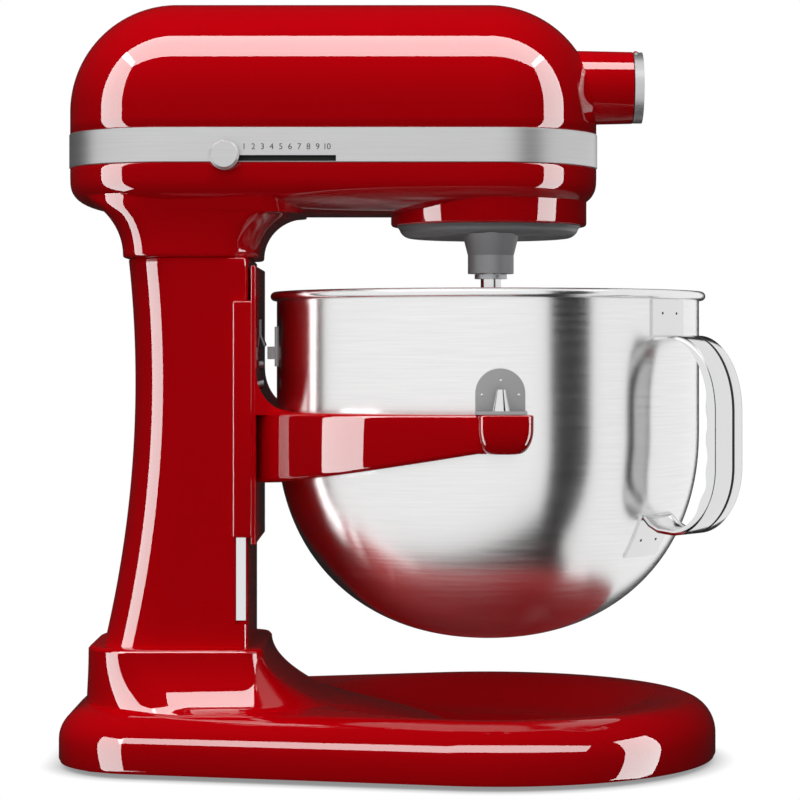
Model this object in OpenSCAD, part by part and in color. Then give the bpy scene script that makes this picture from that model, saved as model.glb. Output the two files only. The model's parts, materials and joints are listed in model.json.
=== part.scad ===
// Bowl-lift stand mixer. Millimetres, +Z up, the front towards +X.

/* [Head] */
// Half the width of the head, and the radius of its round ends
head_r = 60; // [56:1:64]
// How far the centre of the head's round rear end lies behind the bowl's wall
head_rear = 56.3; // [48:1:66]
// Height of the top of the head above the table
head_top = 418.5; // [410:1:430]
// Height of the middle of the head's flat underside
head_bottom = 301; // [296:1:304]
// Wall of the head castings
head_wall = 4; // [3:0.5:5]
// Height of the trim band's lower edge
band_z = 327; // [324:1:330]
// Width of the trim band
band_w = 19; // [15:1:22]

/* [Post] */
// Clearance between the bowl and the front face of the post
post_clear = 13.5; // [12:0.5:18]
// Half the width of the post
post_half = 48; // [46:1:52]
// Depth of the post at its slimmest, front to back
post_depth = 63.8; // [60:0.2:72]
// How fast the post's rear edge sweeps out, per mm squared
post_sweep = 0.00082; // [0.0005:0.00001:0.001]
// Wall of the post casting
post_wall = 5; // [4:0.5:6]

/* [Base] */
// Radius of the round front of the base
base_r = 124; // [116:1:130]
// Distance from the bowl's wall back to the base's rear edge
base_rear = 122.9; // [118:1:130]
// Half the width of the base at its rear
base_rear_half = 86; // [80:1:92]
// Height of the base's rim
base_h = 35; // [32:1:38]
// Height of the collar round the foot of the post
collar_h = 65; // [62:1:68]
// Radius of the recess under the bowl
dish_r = 108; // [96:1:112]
// Thickness of the base casting's skin
base_wall = 4; // [3:0.5:6]

/* [Bowl] */
// Radius of the bowl's straight wall
bowl_r = 117.5; // [114:0.5:118]
// Height of the bowl's rim when it is raised
bowl_rim_z = 258.5; // [250:0.5:260]
// Depth of the bowl outside
bowl_depth = 192; // [180:1:196]
// Height of the bowl's rounded bottom part
bowl_curve = 116; // [100:1:120]
// Thickness of the bowl's sheet
bowl_wall = 1.2; // [0.8:0.1:1.6]
// Angle of the bowl's handle from the front, towards the knob side
handle_angle = 37; // [30:1:42]

/* [Bowl lift] */
// Travel of the bowl support
lift_travel = 46; // [36:1:46]
// Radius of the lift crank
crank_r = 30; // [26:0.5:30]
// Diameter of the crank pin
crank_pin_d = 5; // [4:0.5:6]
// Thickness of the support arms
arm_t = 11.5; // [10:0.5:13]
// Diameter of the arm pins at their foot
arm_pin_d = 10; // [8:0.5:11]

/* [Drive] */
// Diameter of the beater shaft
beater_d = 11; // [10:0.5:12.7]
// Diameter of the vertical centre shaft
centre_d = 14; // [12:0.5:16]
// How far the attachment hub's axis lies below the top of the head
hub_drop = 45.9; // [43:0.3:50]
// Diameter of the attachment hub's bore
hub_bore_d = 29; // [26:0.5:30]
// Diameter of the hub drive shaft
hub_shaft_d = 10; // [9:0.5:11]
// Diameter of the motor shaft
motor_shaft_d = 8; // [7:0.5:9]
// Radius of the motor's field core
core_r = 32; // [26:1:32]

/* [Controls] */
// Diameter of the speed knob
knob_d = 16; // [14:0.5:18]
// Travel of the speed knob
knob_travel = 53; // [40:1:54]

/* [Hidden] */

$fn = 48;
fit = 0.05;                 // radial running clearance of a shaft in its bush
gap = 0.3;                  // clearance between pieces that move past each other
seat = 0.05;                // joint line between pieces of one body
ring_n = 56;                // points round each casting's outline

red = "#a8000c";
steel = "#c9cacc";
grey = "#8f9193";
dark = "#202022";
copper = "#b06a3a";
bronze = "#a98552";

// Places along X, from the bowl's axis
bowl_x = 54;
drive_x = bowl_x + 0.7;     // axis of the planetary
nose_x = bowl_x + 2.6;      // centre of the base's round front
post_front = bowl_x - bowl_r - post_clear;
post_mid_z = 209;           // height at which the post is slimmest

// Outline points. An outline is a list of circles [x, y, r]; the outline runs tightly round
// them all, grown outwards by g.
function rim_point(circles, a, g) =
    let (u = [cos(a), sin(a)],
         reach = [for (c = circles) c.x*u.x + c.y*u.y + c[2]],
         c = circles[search(max(reach), reach)[0]])
    [c.x + (c[2] + g)*u.x, c.y + (c[2] + g)*u.y];

// One ring of an outline at height z; rise tips the ring up by so much per mm along X
function ring(circles, z, g = 0, rise = 0, n = ring_n) =
    [for (k = [0:n - 1])
        let (p = rim_point(circles, 360*(k + 0.5)/n, g))
        [p.x, p.y, z + rise*p.x]];

// Solid through a stack of rings, each with the same number of points
module loft(rings) {
    n = len(rings[0]);
    m = len(rings);
    sides = [for (j = [0:m - 2], k = [0:n - 1])
        let (a = j*n + k, b = j*n + (k + 1)%n, c = b + n, d = a + n)
        each [[a, d, c], [a, c, b]]];
    caps = [[for (k = [0:n - 1]) k], [for (k = [n - 1:-1:0]) (m - 1)*n + k]];
    polyhedron([for (r = rings) each r], concat(sides, caps), convexity = 8);
}

module at_x(x, z) { translate([x, 0, z]) rotate([0, 90, 0]) children(); }
module mirror_y() { children(); mirror([0, 1, 0]) children(); }
module tube(r_out, r_in, h) {
    difference() {
        cylinder(r = r_out, h = h);
        translate([0, 0, -1]) cylinder(r = r_in, h = h + 2);
    }
}

// Bolt with a round head, axis along +Z, underside of its head at z = 0
module bolt(r, len, head_r, head_h) {
    translate([0, 0, -len]) cylinder(r = r, h = len);
    cylinder(r = head_r, h = head_h);
}

// ---- Base ----

base_bottom = 2;            // the feet hold the casting this far off the table
base_corner_r = 56;
base_corner_x = bowl_x - bowl_r - base_rear + base_corner_r;
base_corner_y = base_rear_half - base_corner_r;
base_circles = [[nose_x, 0, base_r],
                [base_corner_x, -base_corner_y, base_corner_r],
                [base_corner_x, base_corner_y, base_corner_r]];
collar_side = 9.5;          // how far the collar stands out round the post
collar_front = post_front + 13;
collar_floor = 57;          // the post's foot stands on this face
rim_drop = 19;              // height of the rounded edge
rim_inset = 22;             // how far that edge leans in

function edge(a, inset, drop) = [-inset*(1 - cos(a)), drop*sin(a)];
function post_rear(z) = post_front - post_depth - post_sweep*pow(z - post_mid_z, 2);
function post_ring(z, g = 0) =
    let (r = post_depth/2 - 0.4, x0 = post_rear(z) + r, f = 4, x1 = post_front - f)
    ring([[x0, r - post_half, r], [x0, post_half - r, r],
          [x1, post_half - f, f], [x1, f - post_half, f]], z, g);
collar_rise = 0.06;         // the collar stands higher at its front
// Ring round the collar; at the rear it grows only a little, as the base ends there
function collar_ring(z, g, rise = 0) =
    let (r = 34, f = 14, half = post_half + collar_side,
         x0 = post_rear(64) - 8 + r + 0.65*max(g, 0), x1 = collar_front - f)
    ring([[x0, r - half, r], [x0, half - r, r], [x1, half - f, f], [x1, f - half, f]], z, g, rise);
function collar_z(z) = z - collar_rise*(post_front - 45);

foot_r = 11;
rear_foot_x = base_corner_x - 24;
// Where each foot stands, and how far its boss reaches up under the skin
foot_places = [[bowl_x + 92, 0, 19], [bowl_x, 92, 19], [bowl_x, -92, 19],
               [rear_foot_x, 50, base_h - 2], [rear_foot_x, -50, base_h - 2]];
foot_h = 6;
foot_screw_r = 2;
post_bolt_r = 3;
post_bolt_y = post_half - 20;
post_bolt_places = [for (x = [post_front - 13, post_front - 54], y = [-post_bolt_y, post_bolt_y]) [x, y]];
dish_floor_z = 17;

module base_skin(g, z0, lift) {
    flare = 22;
    loft([ring(base_circles, z0, g - 1.5), ring(base_circles, z0 + 3, g),
          each [for (a = [0:15:75]) let (e = edge(a, rim_inset, rim_drop))
              ring(base_circles, base_h - rim_drop + e.y - lift, g + e.x)],
          ring(base_circles, base_h - lift, g - rim_inset - 8)]);
    loft([collar_ring(z0 + 1, g),
          collar_ring(base_h - 8 - lift, flare*0.6 + g),
          each [for (a = [10:20:70])
              collar_ring(base_h - lift + flare*(1 - cos(a)) - 4, flare*(1 - sin(a)) + g)],
          collar_ring(collar_z(collar_h) - 3 - lift, g, collar_rise),
          collar_ring(collar_z(collar_h) - 0.8 - lift, g - 1, collar_rise),
          collar_ring(collar_z(collar_h) - lift, g - 3, collar_rise)]);
}

// The round recess under the bowl, grown by g
module dish(g) {
    depth = base_h - dish_floor_z;
    flat = 0.5;
    translate([bowl_x, 0, dish_floor_z - g]) rotate_extrude($fn = 96)
        polygon([[0, 0],
                 for (a = [0:22.5:180]) [dish_r*(flat + (1 - flat)*a/180) + g, depth/2*(1 - cos(a))],
                 [dish_r + g, depth + 8], [0, depth + 8]]);
}

module base() color(red) difference() {
    union() {
        difference() {
            base_skin(0, base_bottom, 0);
            difference() {
                base_skin(-base_wall, base_bottom - 6, base_wall);
                dish(base_wall);
                translate([post_front - 50, 0, collar_floor - 8 + 25]) cube([140, 140, 50], center = true);
            }
        }
        for (p = foot_places)
            translate([p.x, p.y, base_bottom]) cylinder(r = foot_r + 3, h = p[2] - base_bottom);
    }
    loft([post_ring(collar_floor, 0.4), post_ring(collar_h + 30, 0.4)]);
    dish(0);
    for (p = foot_places) {
        translate([p.x, p.y, 0]) cylinder(r = foot_r + seat, h = foot_h - 1 + seat);
        translate([p.x, p.y, 0]) cylinder(r = foot_screw_r, h = 15);
    }
    for (p = post_bolt_places)
        translate([p.x, p.y, 30]) cylinder(r = post_bolt_r, h = 40);
}

module feet() color(dark) for (p = foot_places) translate([p.x, p.y, 0]) difference() {
    cylinder(r = foot_r, h = foot_h - 1);
    translate([0, 0, -1]) cylinder(r = 4, h = 3);
    translate([0, 0, 1]) cylinder(r = foot_screw_r + seat, h = foot_h);
}

module foot_screws() color(steel) for (p = foot_places)
    translate([p.x, p.y, 1.9]) rotate([180, 0, 0]) bolt(foot_screw_r - seat, 12, 3.6, 1.5);

// ---- Post ----

post_top = 276.5;
post_foot = collar_floor + seat;
plate_t = 8;                // thickness of the post's foot and top plates
rail_z0 = 80;
rail_z1 = 250;
rail_w = 5.5;
rail_lip = 1.1;             // metal left in front of the rail groove
rail_depth = 3;
rail_t = 1.5;
crank_pin_z = 213;          // height of the crank pin when the bowl is raised
crank_x = post_front - 22;
crank_z = crank_pin_z - lift_travel/2;
crank_swing = asin(lift_travel/2/crank_r);
lug_t = 4;
lug_window = lug_t/2 + 2;
lug_half_h = crank_pin_d/2 + 6;
shaft_r = 6;                // of the lift lever
shaft_boss_y = 30;
gland_z = 250;
gland_r = 7;
post_heights = [70, 90, 115, 140, 170, 200, 235, 258];

module post() color(red) difference() {
    loft([for (z = [post_foot, each post_heights, post_top]) post_ring(z)]);
    difference() {
        loft([for (z = [post_foot + plate_t, each post_heights, post_top - plate_t])
            if (z >= post_foot + plate_t) post_ring(z, -post_wall)]);
        translate([crank_x, shaft_boss_y, crank_z]) rotate([-90, 0, 0])
            cylinder(r = shaft_r + 4, h = post_half);
    }
    mirror_y() translate([post_front - rail_lip - rail_w, post_half - rail_depth, rail_z0 - 2])
        cube([rail_w, 2*rail_depth, rail_z1 - rail_z0 + 4]);
    translate([post_front - 2*post_wall, -lug_window, crank_pin_z - lift_travel - lug_half_h - 2])
        cube([3*post_wall, 2*lug_window, lift_travel + 2*lug_half_h + 4]);
    translate([crank_x, shaft_boss_y - 5, crank_z]) rotate([-90, 0, 0])
        cylinder(r = shaft_r + fit, h = post_half);
    translate([post_rear(gland_z) - 5, 0, gland_z]) rotate([0, 90, 0]) cylinder(r = gland_r, h = 20);
    for (p = post_bolt_places) translate([p.x, p.y, 0]) {
        translate([0, 0, post_foot - 1]) cylinder(r = post_bolt_r, h = plate_t + 2);
        translate([0, 0, post_top - plate_t - 1]) cylinder(r = post_bolt_r, h = plate_t + 2);
    }
}

module post_bolts() color(steel) for (p = post_bolt_places)
    translate([p.x, p.y, collar_floor - 8 - seat]) rotate([180, 0, 0])
        bolt(post_bolt_r - seat, 8 + plate_t + 4, 6, 4);

module rail_strips() color(steel) mirror_y()
    translate([post_front - rail_lip - rail_w + 0.15, post_half - rail_depth + seat, rail_z0])
        cube([rail_w - 0.3, rail_t, rail_z1 - rail_z0]);

module cord_gland() color(dark)
    translate([post_rear(gland_z) - 0.2, 0, gland_z]) rotate([0, 90, 0]) difference() {
        union() {
            cylinder(r = gland_r - seat, h = post_wall + 1);
            translate([0, 0, post_wall + 0.95]) cylinder(r = gland_r + 2, h = 2);
        }
        translate([0, 0, -1]) cylinder(r = 3.5, h = 20);
    }

// ---- Head ----

head_x0 = bowl_x - bowl_r - head_rear - head_r;
head_x1 = drive_x + head_r;
head_circles = [[head_x0 + head_r, 0, head_r], [head_x1 - head_r, 0, head_r]];
head_floor = head_bottom + 8.5;
hub_z = head_top - hub_drop;
crown_z = head_top - head_r;        // where the head's side starts to turn in
belly_z = head_bottom + 21;         // where it starts to turn under
seam_z = band_z + 10;               // joint between the castings, behind the band
recess = 1.4;                       // depth of the band's recess
belly_h = belly_z - head_bottom;
function belly(a) = [head_r*(1 - pow(cos(a), 2/3)), belly_h*pow(sin(a), 2/3)];
neck_r = 22;
neck_out = 2;                       // how far the neck stands out over the post
neck_flare = 24;
neck_spread = 0.25;                 // share of the flare that goes sideways
function neck_ring(z, g) =
    let (w = neck_spread*g, x0 = post_rear(post_top) - neck_out - g + w + neck_r,
         x1 = post_front + 5 + g - w - neck_r, y = post_half + neck_out - neck_r)
    ring([[x0, -y, neck_r], [x0, y, neck_r], [x1, y, neck_r], [x1, -y, neck_r]], z, w);
cup_r = 54.5;
cup_z = 295;
cup_wall = 3;
cup_roof = 317;
boss_top = hub_z - 27.6;
bush_r = centre_d/2 + 3;
neck_bolt_len = head_floor - post_top + plate_t + 2;
slot_z0 = band_z + 0.6;
slot_h = 3.2;
knob_x = bowl_x - 142.8;            // the knob's place when off
slot_x0 = knob_x - 3;
slot_x1 = knob_x + knob_travel + 6.7;

module control_slot(grow, y0, y1)
    translate([slot_x0 - grow, y0, slot_z0 - grow])
        cube([slot_x1 - slot_x0 + 2*grow, y1 - y0, slot_h + 2*grow]);

module head_lower() color(red) difference() {
    union() {
        difference() {
            union() {
                loft([for (a = [84:-14:0]) let (e = belly(a)) ring(head_circles, belly_z - e.y, -e.x),
                      ring(head_circles, band_z - 0.1), ring(head_circles, band_z, -recess),
                      ring(head_circles, seam_z, -recess)]);
                loft([neck_ring(post_top + seat, -1.5), neck_ring(post_top + 2, 0),
                      each [for (a = [15:15:75])
                          neck_ring(post_top + 1 + neck_flare*sin(a), neck_flare*(1 - cos(a)))],
                      neck_ring(belly_z - 13, neck_flare*0.95), neck_ring(belly_z - 8, 0)]);
            }
            loft([ring(head_circles, head_floor, -14.5), ring(head_circles, head_floor + 4, -8.5),
                  ring(head_circles, belly_z, -head_wall - 0.5),
                  ring(head_circles, seam_z + 1, -head_wall - 0.5)]);
        }
        loft([for (z = [cup_z, cup_roof + 4]) ring([[drive_x, 0, cup_r]], z)]);
        translate([drive_x, 0, cup_roof]) cylinder(r = bush_r + 4, h = boss_top - cup_roof);
    }
    translate([drive_x, 0, cup_z - 10]) cylinder(r = cup_r - cup_wall, h = cup_roof - cup_z + 10, $fn = 96);
    translate([drive_x, 0, cup_roof - 1]) cylinder(r = bush_r, h = 50);
    for (p = post_bolt_places) translate([p.x, p.y, post_top - 1]) cylinder(r = post_bolt_r, h = 50);
    control_slot(0.6, -head_r - 5, -head_r + 10);
}

module neck_bolts() color(steel) for (p = post_bolt_places)
    translate([p.x, p.y, head_floor + seat]) bolt(post_bolt_r - seat, neck_bolt_len, 6, 4);

module head_cover() color(red) difference() {
    inner_r = head_r - head_wall;
    loft([for (a = [84:-12:0])
              ring(head_circles, crown_z + inner_r*sin(a) + 0.001, inner_r*cos(a) - head_r),
          ring(head_circles, seam_z + seat, -head_wall), ring(head_circles, seam_z + seat, -recess),
          ring(head_circles, band_z + band_w, -recess), ring(head_circles, band_z + band_w + 0.1),
          each [for (a = [0:11:88]) ring(head_circles, crown_z + head_r*sin(a), -head_r*(1 - cos(a)))]]);
    at_x(head_x1 - head_r, hub_z) cylinder(r = barrel_r0 + seat, h = 100);
}

module trim_band() color(steel) difference() {
    out = 0.5;
    z0 = band_z + 0.1;
    z1 = band_z + band_w - 0.1;
    loft([ring(head_circles, z0, out), ring(head_circles, z1, out)]);
    loft([ring(head_circles, z0 - 1, -recess + 0.1), ring(head_circles, z1 + 1, -recess + 0.1)]);
    control_slot(0, -head_r - 5, -head_r + 10);
}

module slot_liner() color(dark) difference() {
    translate([slot_x0 - 0.5, 0.1 - head_r + recess, slot_z0 - 0.5])
        cube([slot_x1 - slot_x0 + 1, head_wall - 1.4, slot_h + 1]);
    translate([slot_x0 + 0.4, -head_r - 5, slot_z0 + 0.15]) cube([slot_x1 - slot_x0 - 0.8, 20, slot_h - 0.3]);
}

// ---- Attachment hub ----

barrel_r0 = 20.8;
barrel_r1 = 20;
barrel_x0 = head_x1 - 18;
barrel_x1 = head_x1 + 19.8;
hub_seat_x = barrel_x1 - 16.5;      // the attachment's spigot goes in this far
hub_bore_r = hub_bore_d/2;
hub_bush_t = 7;
hub_bush_r = hub_shaft_d/2 + 4;
hinge_x = barrel_x1 + 2;
hinge_z = hub_z + barrel_r1 - 1.6;
hinge_pin_r = 0.9;
lug_r = 1.9;
lug_y = 3;
cap_x0 = barrel_x1 + 0.5;
cap_t = 5.1;
cap_r = barrel_r1 - 0.2;
cap_face = 1.6;
screw_x = barrel_x1 - 8;
screw_r = 3;
screw_travel = 3.75;

module hub_barrel() color(red) difference() {
    union() {
        at_x(barrel_x0, hub_z) cylinder(r1 = barrel_r0, r2 = barrel_r1, h = barrel_x1 - barrel_x0, $fn = 96);
        translate([hinge_x, lug_y, hinge_z]) rotate([90, 0, 0]) cylinder(r = lug_r, h = 2*lug_y);
        translate([barrel_x1 - 1, -lug_y, hinge_z - lug_r])
            cube([hinge_x - barrel_x1 + 1, 2*lug_y, 2*lug_r - 0.8]);
    }
    at_x(hub_seat_x, hub_z) cylinder(r = hub_bore_r, h = 30);
    at_x(barrel_x0 + hub_bush_t, hub_z) cylinder(r = hub_bore_r - 1.5, h = 40);
    at_x(barrel_x0 - 1, hub_z) cylinder(r = hub_bush_r, h = 20);
    translate([hinge_x, 20, hinge_z]) rotate([90, 0, 0]) cylinder(r = hinge_pin_r + fit, h = 40);
    translate([screw_x, 5, hub_z]) rotate([-90, 0, 0]) cylinder(r = screw_r, h = 30);
}

module hub_hinge_pin() color(steel)
    translate([hinge_x, 5.8, hinge_z]) rotate([90, 0, 0]) cylinder(r = hinge_pin_r, h = 11.6);

module hub_bush() color(bronze) at_x(barrel_x0, hub_z)
    tube(hub_bush_r - 0.02, hub_shaft_d/2 + fit, hub_bush_t);

module hub_cover() color(steel) difference() {
    at_x(cap_x0, hub_z) cylinder(r = cap_r, h = cap_t, $fn = 96);
    at_x(cap_x0 - 1, hub_z) cylinder(r = cap_r - 3.4, h = cap_t - cap_face + 1, $fn = 96);
    translate([cap_x0 - 1, -lug_y - 0.35, hinge_z - lug_r - 0.6])
        cube([cap_t - cap_face + 1.8, 2*lug_y + 0.7, 10]);
    translate([hinge_x, 20, hinge_z]) rotate([90, 0, 0]) cylinder(r = hinge_pin_r + fit, h = 40);
}

module lock_screw() color(steel) translate([screw_x, hub_bore_r + 0.3, hub_z]) rotate([-90, 0, 0])
    cylinder(r = screw_r - fit, h = 12);

module lock_knob() color(dark) translate([screw_x, hub_bore_r + 8, hub_z]) rotate([-90, 0, 0]) difference() {
    union() {
        cylinder(r = 5.5, h = 5);
        translate([0, 0, 3.9]) linear_extrude(9) {
            circle(r = 11);
            for (k = [0:7]) rotate(45*k) translate([10.4, 0]) circle(r = 1.6);
        }
    }
    translate([0, 0, -1]) cylinder(r = screw_r, h = 6);
}

// ---- Gears ----

pressure = 20;
function involute(a) = tan(a)*180/PI - a;
// Half the angle of a tooth at radius r, on a gear of n teeth with base circle base
function tooth_half(n, r, base, play) =
    90/n + involute(pressure) - play - involute(acos(min(1, base/r)));

// Outline of a spur gear; play narrows every tooth by so many degrees a side
module gear_2d(n, m, tip, root, play) {
    base = n*m/2*cos(pressure);
    radii = [for (k = [0:3]) max(root, base) + (tip - max(root, base))*k/3];
    polygon([for (k = [0:n - 1]) each concat(
        [let (a = 360*k/n - tooth_half(n, base, base, play)) root*[cos(a), sin(a)]],
        [for (r = radii) let (a = 360*k/n - tooth_half(n, r, base, play)) r*[cos(a), sin(a)]],
        [for (i = [3:-1:0]) let (r = radii[i], a = 360*k/n + tooth_half(n, r, base, play))
            r*[cos(a), sin(a)]],
        [let (a = 360*k/n + tooth_half(n, base, base, play)) root*[cos(a), sin(a)]])]);
}

// A gear of its own, bored for its shaft
module gear(n, m, h, bore, play) linear_extrude(h) difference() {
    gear_2d(n, m, n*m/2 + 0.9*m, n*m/2 - 1.2*m, play);
    circle(r = bore);
}

ring_teeth = 72;
planet_teeth = 16;
planet_m = 1.25;
beater_off = (ring_teeth - planet_teeth)*planet_m/2;
ring_z = 303;
ring_h = 9;
disc_z = 288.5;
disc_top = 297;
disc_r = cup_r - cup_wall - 0.4;
sleeve_z = 267.8;
sleeve_r = beater_d/2 + 7;
beater_end = 229;
centre_r = centre_d/2;

module ring_gear() color(grey) translate([drive_x, 0, ring_z]) linear_extrude(ring_h) difference() {
    circle(r = cup_r - cup_wall - 0.1, $fn = 96);
    gear_2d(ring_teeth, planet_m, ring_teeth*planet_m/2 + 1.5, ring_teeth*planet_m/2 - 1.1, -0.12);
}

module centre_bush() color(bronze) translate([drive_x, 0, cup_roof + 0.3])
    tube(bush_r - 0.02, centre_r + fit, boss_top - cup_roof - 0.3);

module planetary_disc() color(grey) difference() {
    union() {
        translate([drive_x, 0, 0]) rotate_extrude($fn = 96) polygon([
            [0, disc_z], [disc_r - 8, disc_z],
            for (a = [0:15:75]) [disc_r - 8 + 7*sin(a), disc_top - 2 - (disc_top - 2 - disc_z)*cos(a)],
            [disc_r, disc_top - 2], [disc_r, disc_top], [centre_r + 5, disc_top],
            [centre_r + 5, cup_roof - 5], [0, cup_roof - 5]]);
        translate([drive_x, -beater_off, 0]) {
            translate([0, 0, sleeve_z]) cylinder(r = sleeve_r, h = disc_top - sleeve_z);
            translate([0, 0, sleeve_z + 10])
                cylinder(r1 = sleeve_r, r2 = sleeve_r + 3, h = disc_z - sleeve_z - 9);
            translate([0, 0, disc_top - 1]) cylinder(r = beater_d/2 + 4, h = ring_z - disc_top + 0.5);
        }
    }
    translate([drive_x, 0, disc_z + 2]) cylinder(r = centre_r + 0.02, h = 60);
    translate([drive_x, -beater_off, sleeve_z - 1]) cylinder(r = beater_d/2 + fit, h = 60);
    translate([drive_x - 30, 0, cup_roof - 9]) rotate([0, 90, 0]) cylinder(r = 2.02, h = 60);
}

module centre_shaft() color(steel) difference() {
    translate([drive_x, 0, disc_z + 2.1]) cylinder(r = centre_r, h = crown_z0 + 8 - disc_z - 2.1);
    translate([drive_x - 30, 0, cup_roof - 9]) rotate([0, 90, 0]) cylinder(r = 2.02, h = 60);
}

module carrier_pin() color(steel)
    translate([drive_x - centre_r - 4.5, 0, cup_roof - 9]) rotate([0, 90, 0])
        cylinder(r = 2, h = 2*centre_r + 9);

module beater_shaft() color(steel) difference() {
    translate([drive_x, -beater_off, beater_end])
        cylinder(r = beater_d/2, h = ring_z + ring_h + 1.5 - beater_end);
    translate([drive_x - 30, -beater_off, beater_end + 9]) rotate([0, 90, 0]) cylinder(r = 1.6, h = 60);
}

module beater_pinion() color(grey) translate([drive_x, -beater_off, ring_z + 0.3]) rotate(-90)
    gear(planet_teeth, planet_m, ring_h - 0.6, beater_d/2 + 0.02, 1.2);

module shaft_washer() color(steel) translate([drive_x, -beater_off, sleeve_z - 0.4]) mirror([0, 0, 1])
    tube(beater_d/2 + 3.3, beater_d/2 + 0.02, 2.4);

module beater_pin() color(steel)
    translate([drive_x - beater_d/2 - 4, -beater_off, beater_end + 9]) rotate([0, 90, 0])
        cylinder(r = 1.58, h = beater_d + 8);

crown_teeth = 40;
crown_m = 1.25;
crown_pinion_teeth = 16;
crown_mean = crown_teeth*crown_m/2;
crown_face = 5;
crown_z0 = boss_top + 5;
crown_root = hub_z - crown_pinion_teeth*crown_m/2 - 3.9;
crown_tip = hub_z - crown_pinion_teeth*crown_m/2 + 0.8;

module crown_gear() color(grey) translate([drive_x, 0, 0]) difference() {
    union() {
        translate([0, 0, boss_top + 0.4]) cylinder(r = centre_r + 5, h = crown_z0 + 9 - boss_top - 0.4);
        translate([0, 0, crown_z0]) tube(crown_mean + 5, centre_r + 3, crown_root - crown_z0);
        for (k = [0:crown_teeth - 1]) rotate(360*(k + 0.5)/crown_teeth)
            translate([crown_mean - 4, -0.5, crown_root - 1]) cube([8, 1, crown_tip - crown_root + 1]);
    }
    translate([0, 0, boss_top - 1]) cylinder(r = centre_r + 0.02, h = 60);
}

hub_shaft_r = hub_shaft_d/2;
frame_x0 = post_front + 20;
frame_t = 6;
frame_half = 38;
frame_x1 = drive_x - cup_r - frame_t - 1.2;
spur_n = 48;
motor_n = 12;
spur_m = 1;
motor_z = hub_z - (spur_n + motor_n)*spur_m/2;
spur_x = frame_x0 + frame_t + 10;
socket_x = barrel_x0 + hub_bush_t + 0.4;

module hub_shaft() color(steel) difference() {
    union() {
        at_x(frame_x0 + 0.3, hub_z) cylinder(r = hub_shaft_r, h = socket_x + 1 - frame_x0);
        at_x(socket_x, hub_z) cylinder(r = hub_shaft_r + 4, h = hub_seat_x - socket_x - 0.4);
    }
    translate([socket_x + 2, -4, hub_z - 4]) cube([40, 8, 8]);
}

module crown_pinion() color(grey)
    at_x(drive_x - crown_mean - crown_face/2, hub_z)
        gear(crown_pinion_teeth, crown_m, crown_face, hub_shaft_r + 0.02, 2.4);

module spur_gear() color(grey) at_x(spur_x, hub_z) rotate(180/spur_n)
    gear(spur_n, spur_m, 8, hub_shaft_r + 0.02, 0.35);

module motor_pinion() color(steel) at_x(spur_x - 1, motor_z)
    gear(motor_n, spur_m, 10, motor_r + 0.02, 1.4);

shaft_bush_r = hub_shaft_r + 3;
motor_r = motor_shaft_d/2;
motor_bush_r = motor_r + 3;

module gear_frame() color(grey) difference() {
    union() {
        for (x = [frame_x0, frame_x1]) translate([x, -frame_half, head_floor + 0.1])
            cube([frame_t, 2*frame_half, hub_z + 16 - head_floor]);
        mirror_y() translate([frame_x0, frame_half - frame_t, head_floor + 0.1])
            cube([frame_x1 - frame_x0 + 1, frame_t, 8]);
    }
    at_x(frame_x0 - 1, hub_z) cylinder(r = shaft_bush_r, h = frame_x1 - frame_x0 + frame_t + 2);
    at_x(frame_x0 - 1, motor_z) cylinder(r = motor_bush_r, h = frame_t + 2);
    at_x(frame_x1 - 1, motor_z - 8) cylinder(r = 14, h = frame_t + 2);
}

module shaft_bushes() color(bronze) for (x = [frame_x0, frame_x1])
    at_x(x, hub_z) tube(shaft_bush_r - 0.02, hub_shaft_r + fit, frame_t);

// ---- Motor ----

core_l = 50;
core_x0 = frame_x0 - core_l - 30;
coil_t = 6;
armature_r = core_r - 11;
end_x = core_x0 - 21;
commutator_r = 11;

module motor_core() color(grey) difference() {
    at_x(core_x0, motor_z) cylinder(r = core_r, h = core_l, $fn = 96);
    at_x(core_x0 - 1, motor_z) cylinder(r = armature_r + 0.6, h = core_l + 2);
}

module motor_coils() color(copper) for (x = [core_x0 - coil_t - 0.1, core_x0 + core_l + 0.1])
    at_x(x, motor_z) tube(core_r - 3, armature_r + 1, coil_t);

// Two cradles under the core and the plate that holds the rear bush
module motor_bracket() color(grey) difference() {
    union() {
        for (x = [core_x0 + 14, core_x0 + core_l - 18]) translate([x, -core_r - 6, head_floor + 0.1])
            cube([6, 2*core_r + 12, motor_z - head_floor]);
        translate([end_x, -22, head_floor + 0.1]) cube([5, 44, motor_z + 14 - head_floor]);
        mirror_y() translate([end_x, 14, head_floor + 0.1]) cube([core_x0 + 15 - end_x, 6, 3]);
    }
    at_x(core_x0 - 1, motor_z) cylinder(r = core_r + seat, h = core_l + 2);
    at_x(end_x - 1, motor_z) cylinder(r = motor_bush_r, h = 8);
}

module brush_holders() color(dark) mirror_y()
    translate([end_x + 5.1, commutator_r + 2, motor_z - 5]) difference() {
        cube([9, 13, 10]);
        translate([1.4, -1, 2]) cube([6.2, 13, 6]);
    }

module brushes() color("#3a3a3c") mirror_y()
    translate([end_x + 6.55, commutator_r + 0.3, motor_z - 2.95]) cube([6.1, 12, 5.9]);

module motor_bushes() color(bronze) for (x = [end_x, frame_x0])
    at_x(x, motor_z) tube(motor_bush_r - 0.02, motor_r + fit, x == end_x ? 5 : frame_t);

module motor_shaft() color(steel)
    at_x(end_x + 0.3, motor_z) cylinder(r = motor_r, h = spur_x + 10 - end_x);

module armature() color(copper) difference() {
    at_x(core_x0 - 2, motor_z) union() {
        cylinder(r = armature_r, h = core_l + 4);
        translate([0, 0, -3]) cylinder(r = armature_r - 6, h = core_l + 10);
    }
    at_x(core_x0 - 10, motor_z) cylinder(r = motor_r + 0.02, h = core_l + 20);
}

module commutator() color(copper) at_x(end_x + 6, motor_z) tube(commutator_r, motor_r + 0.02, 9);

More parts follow.
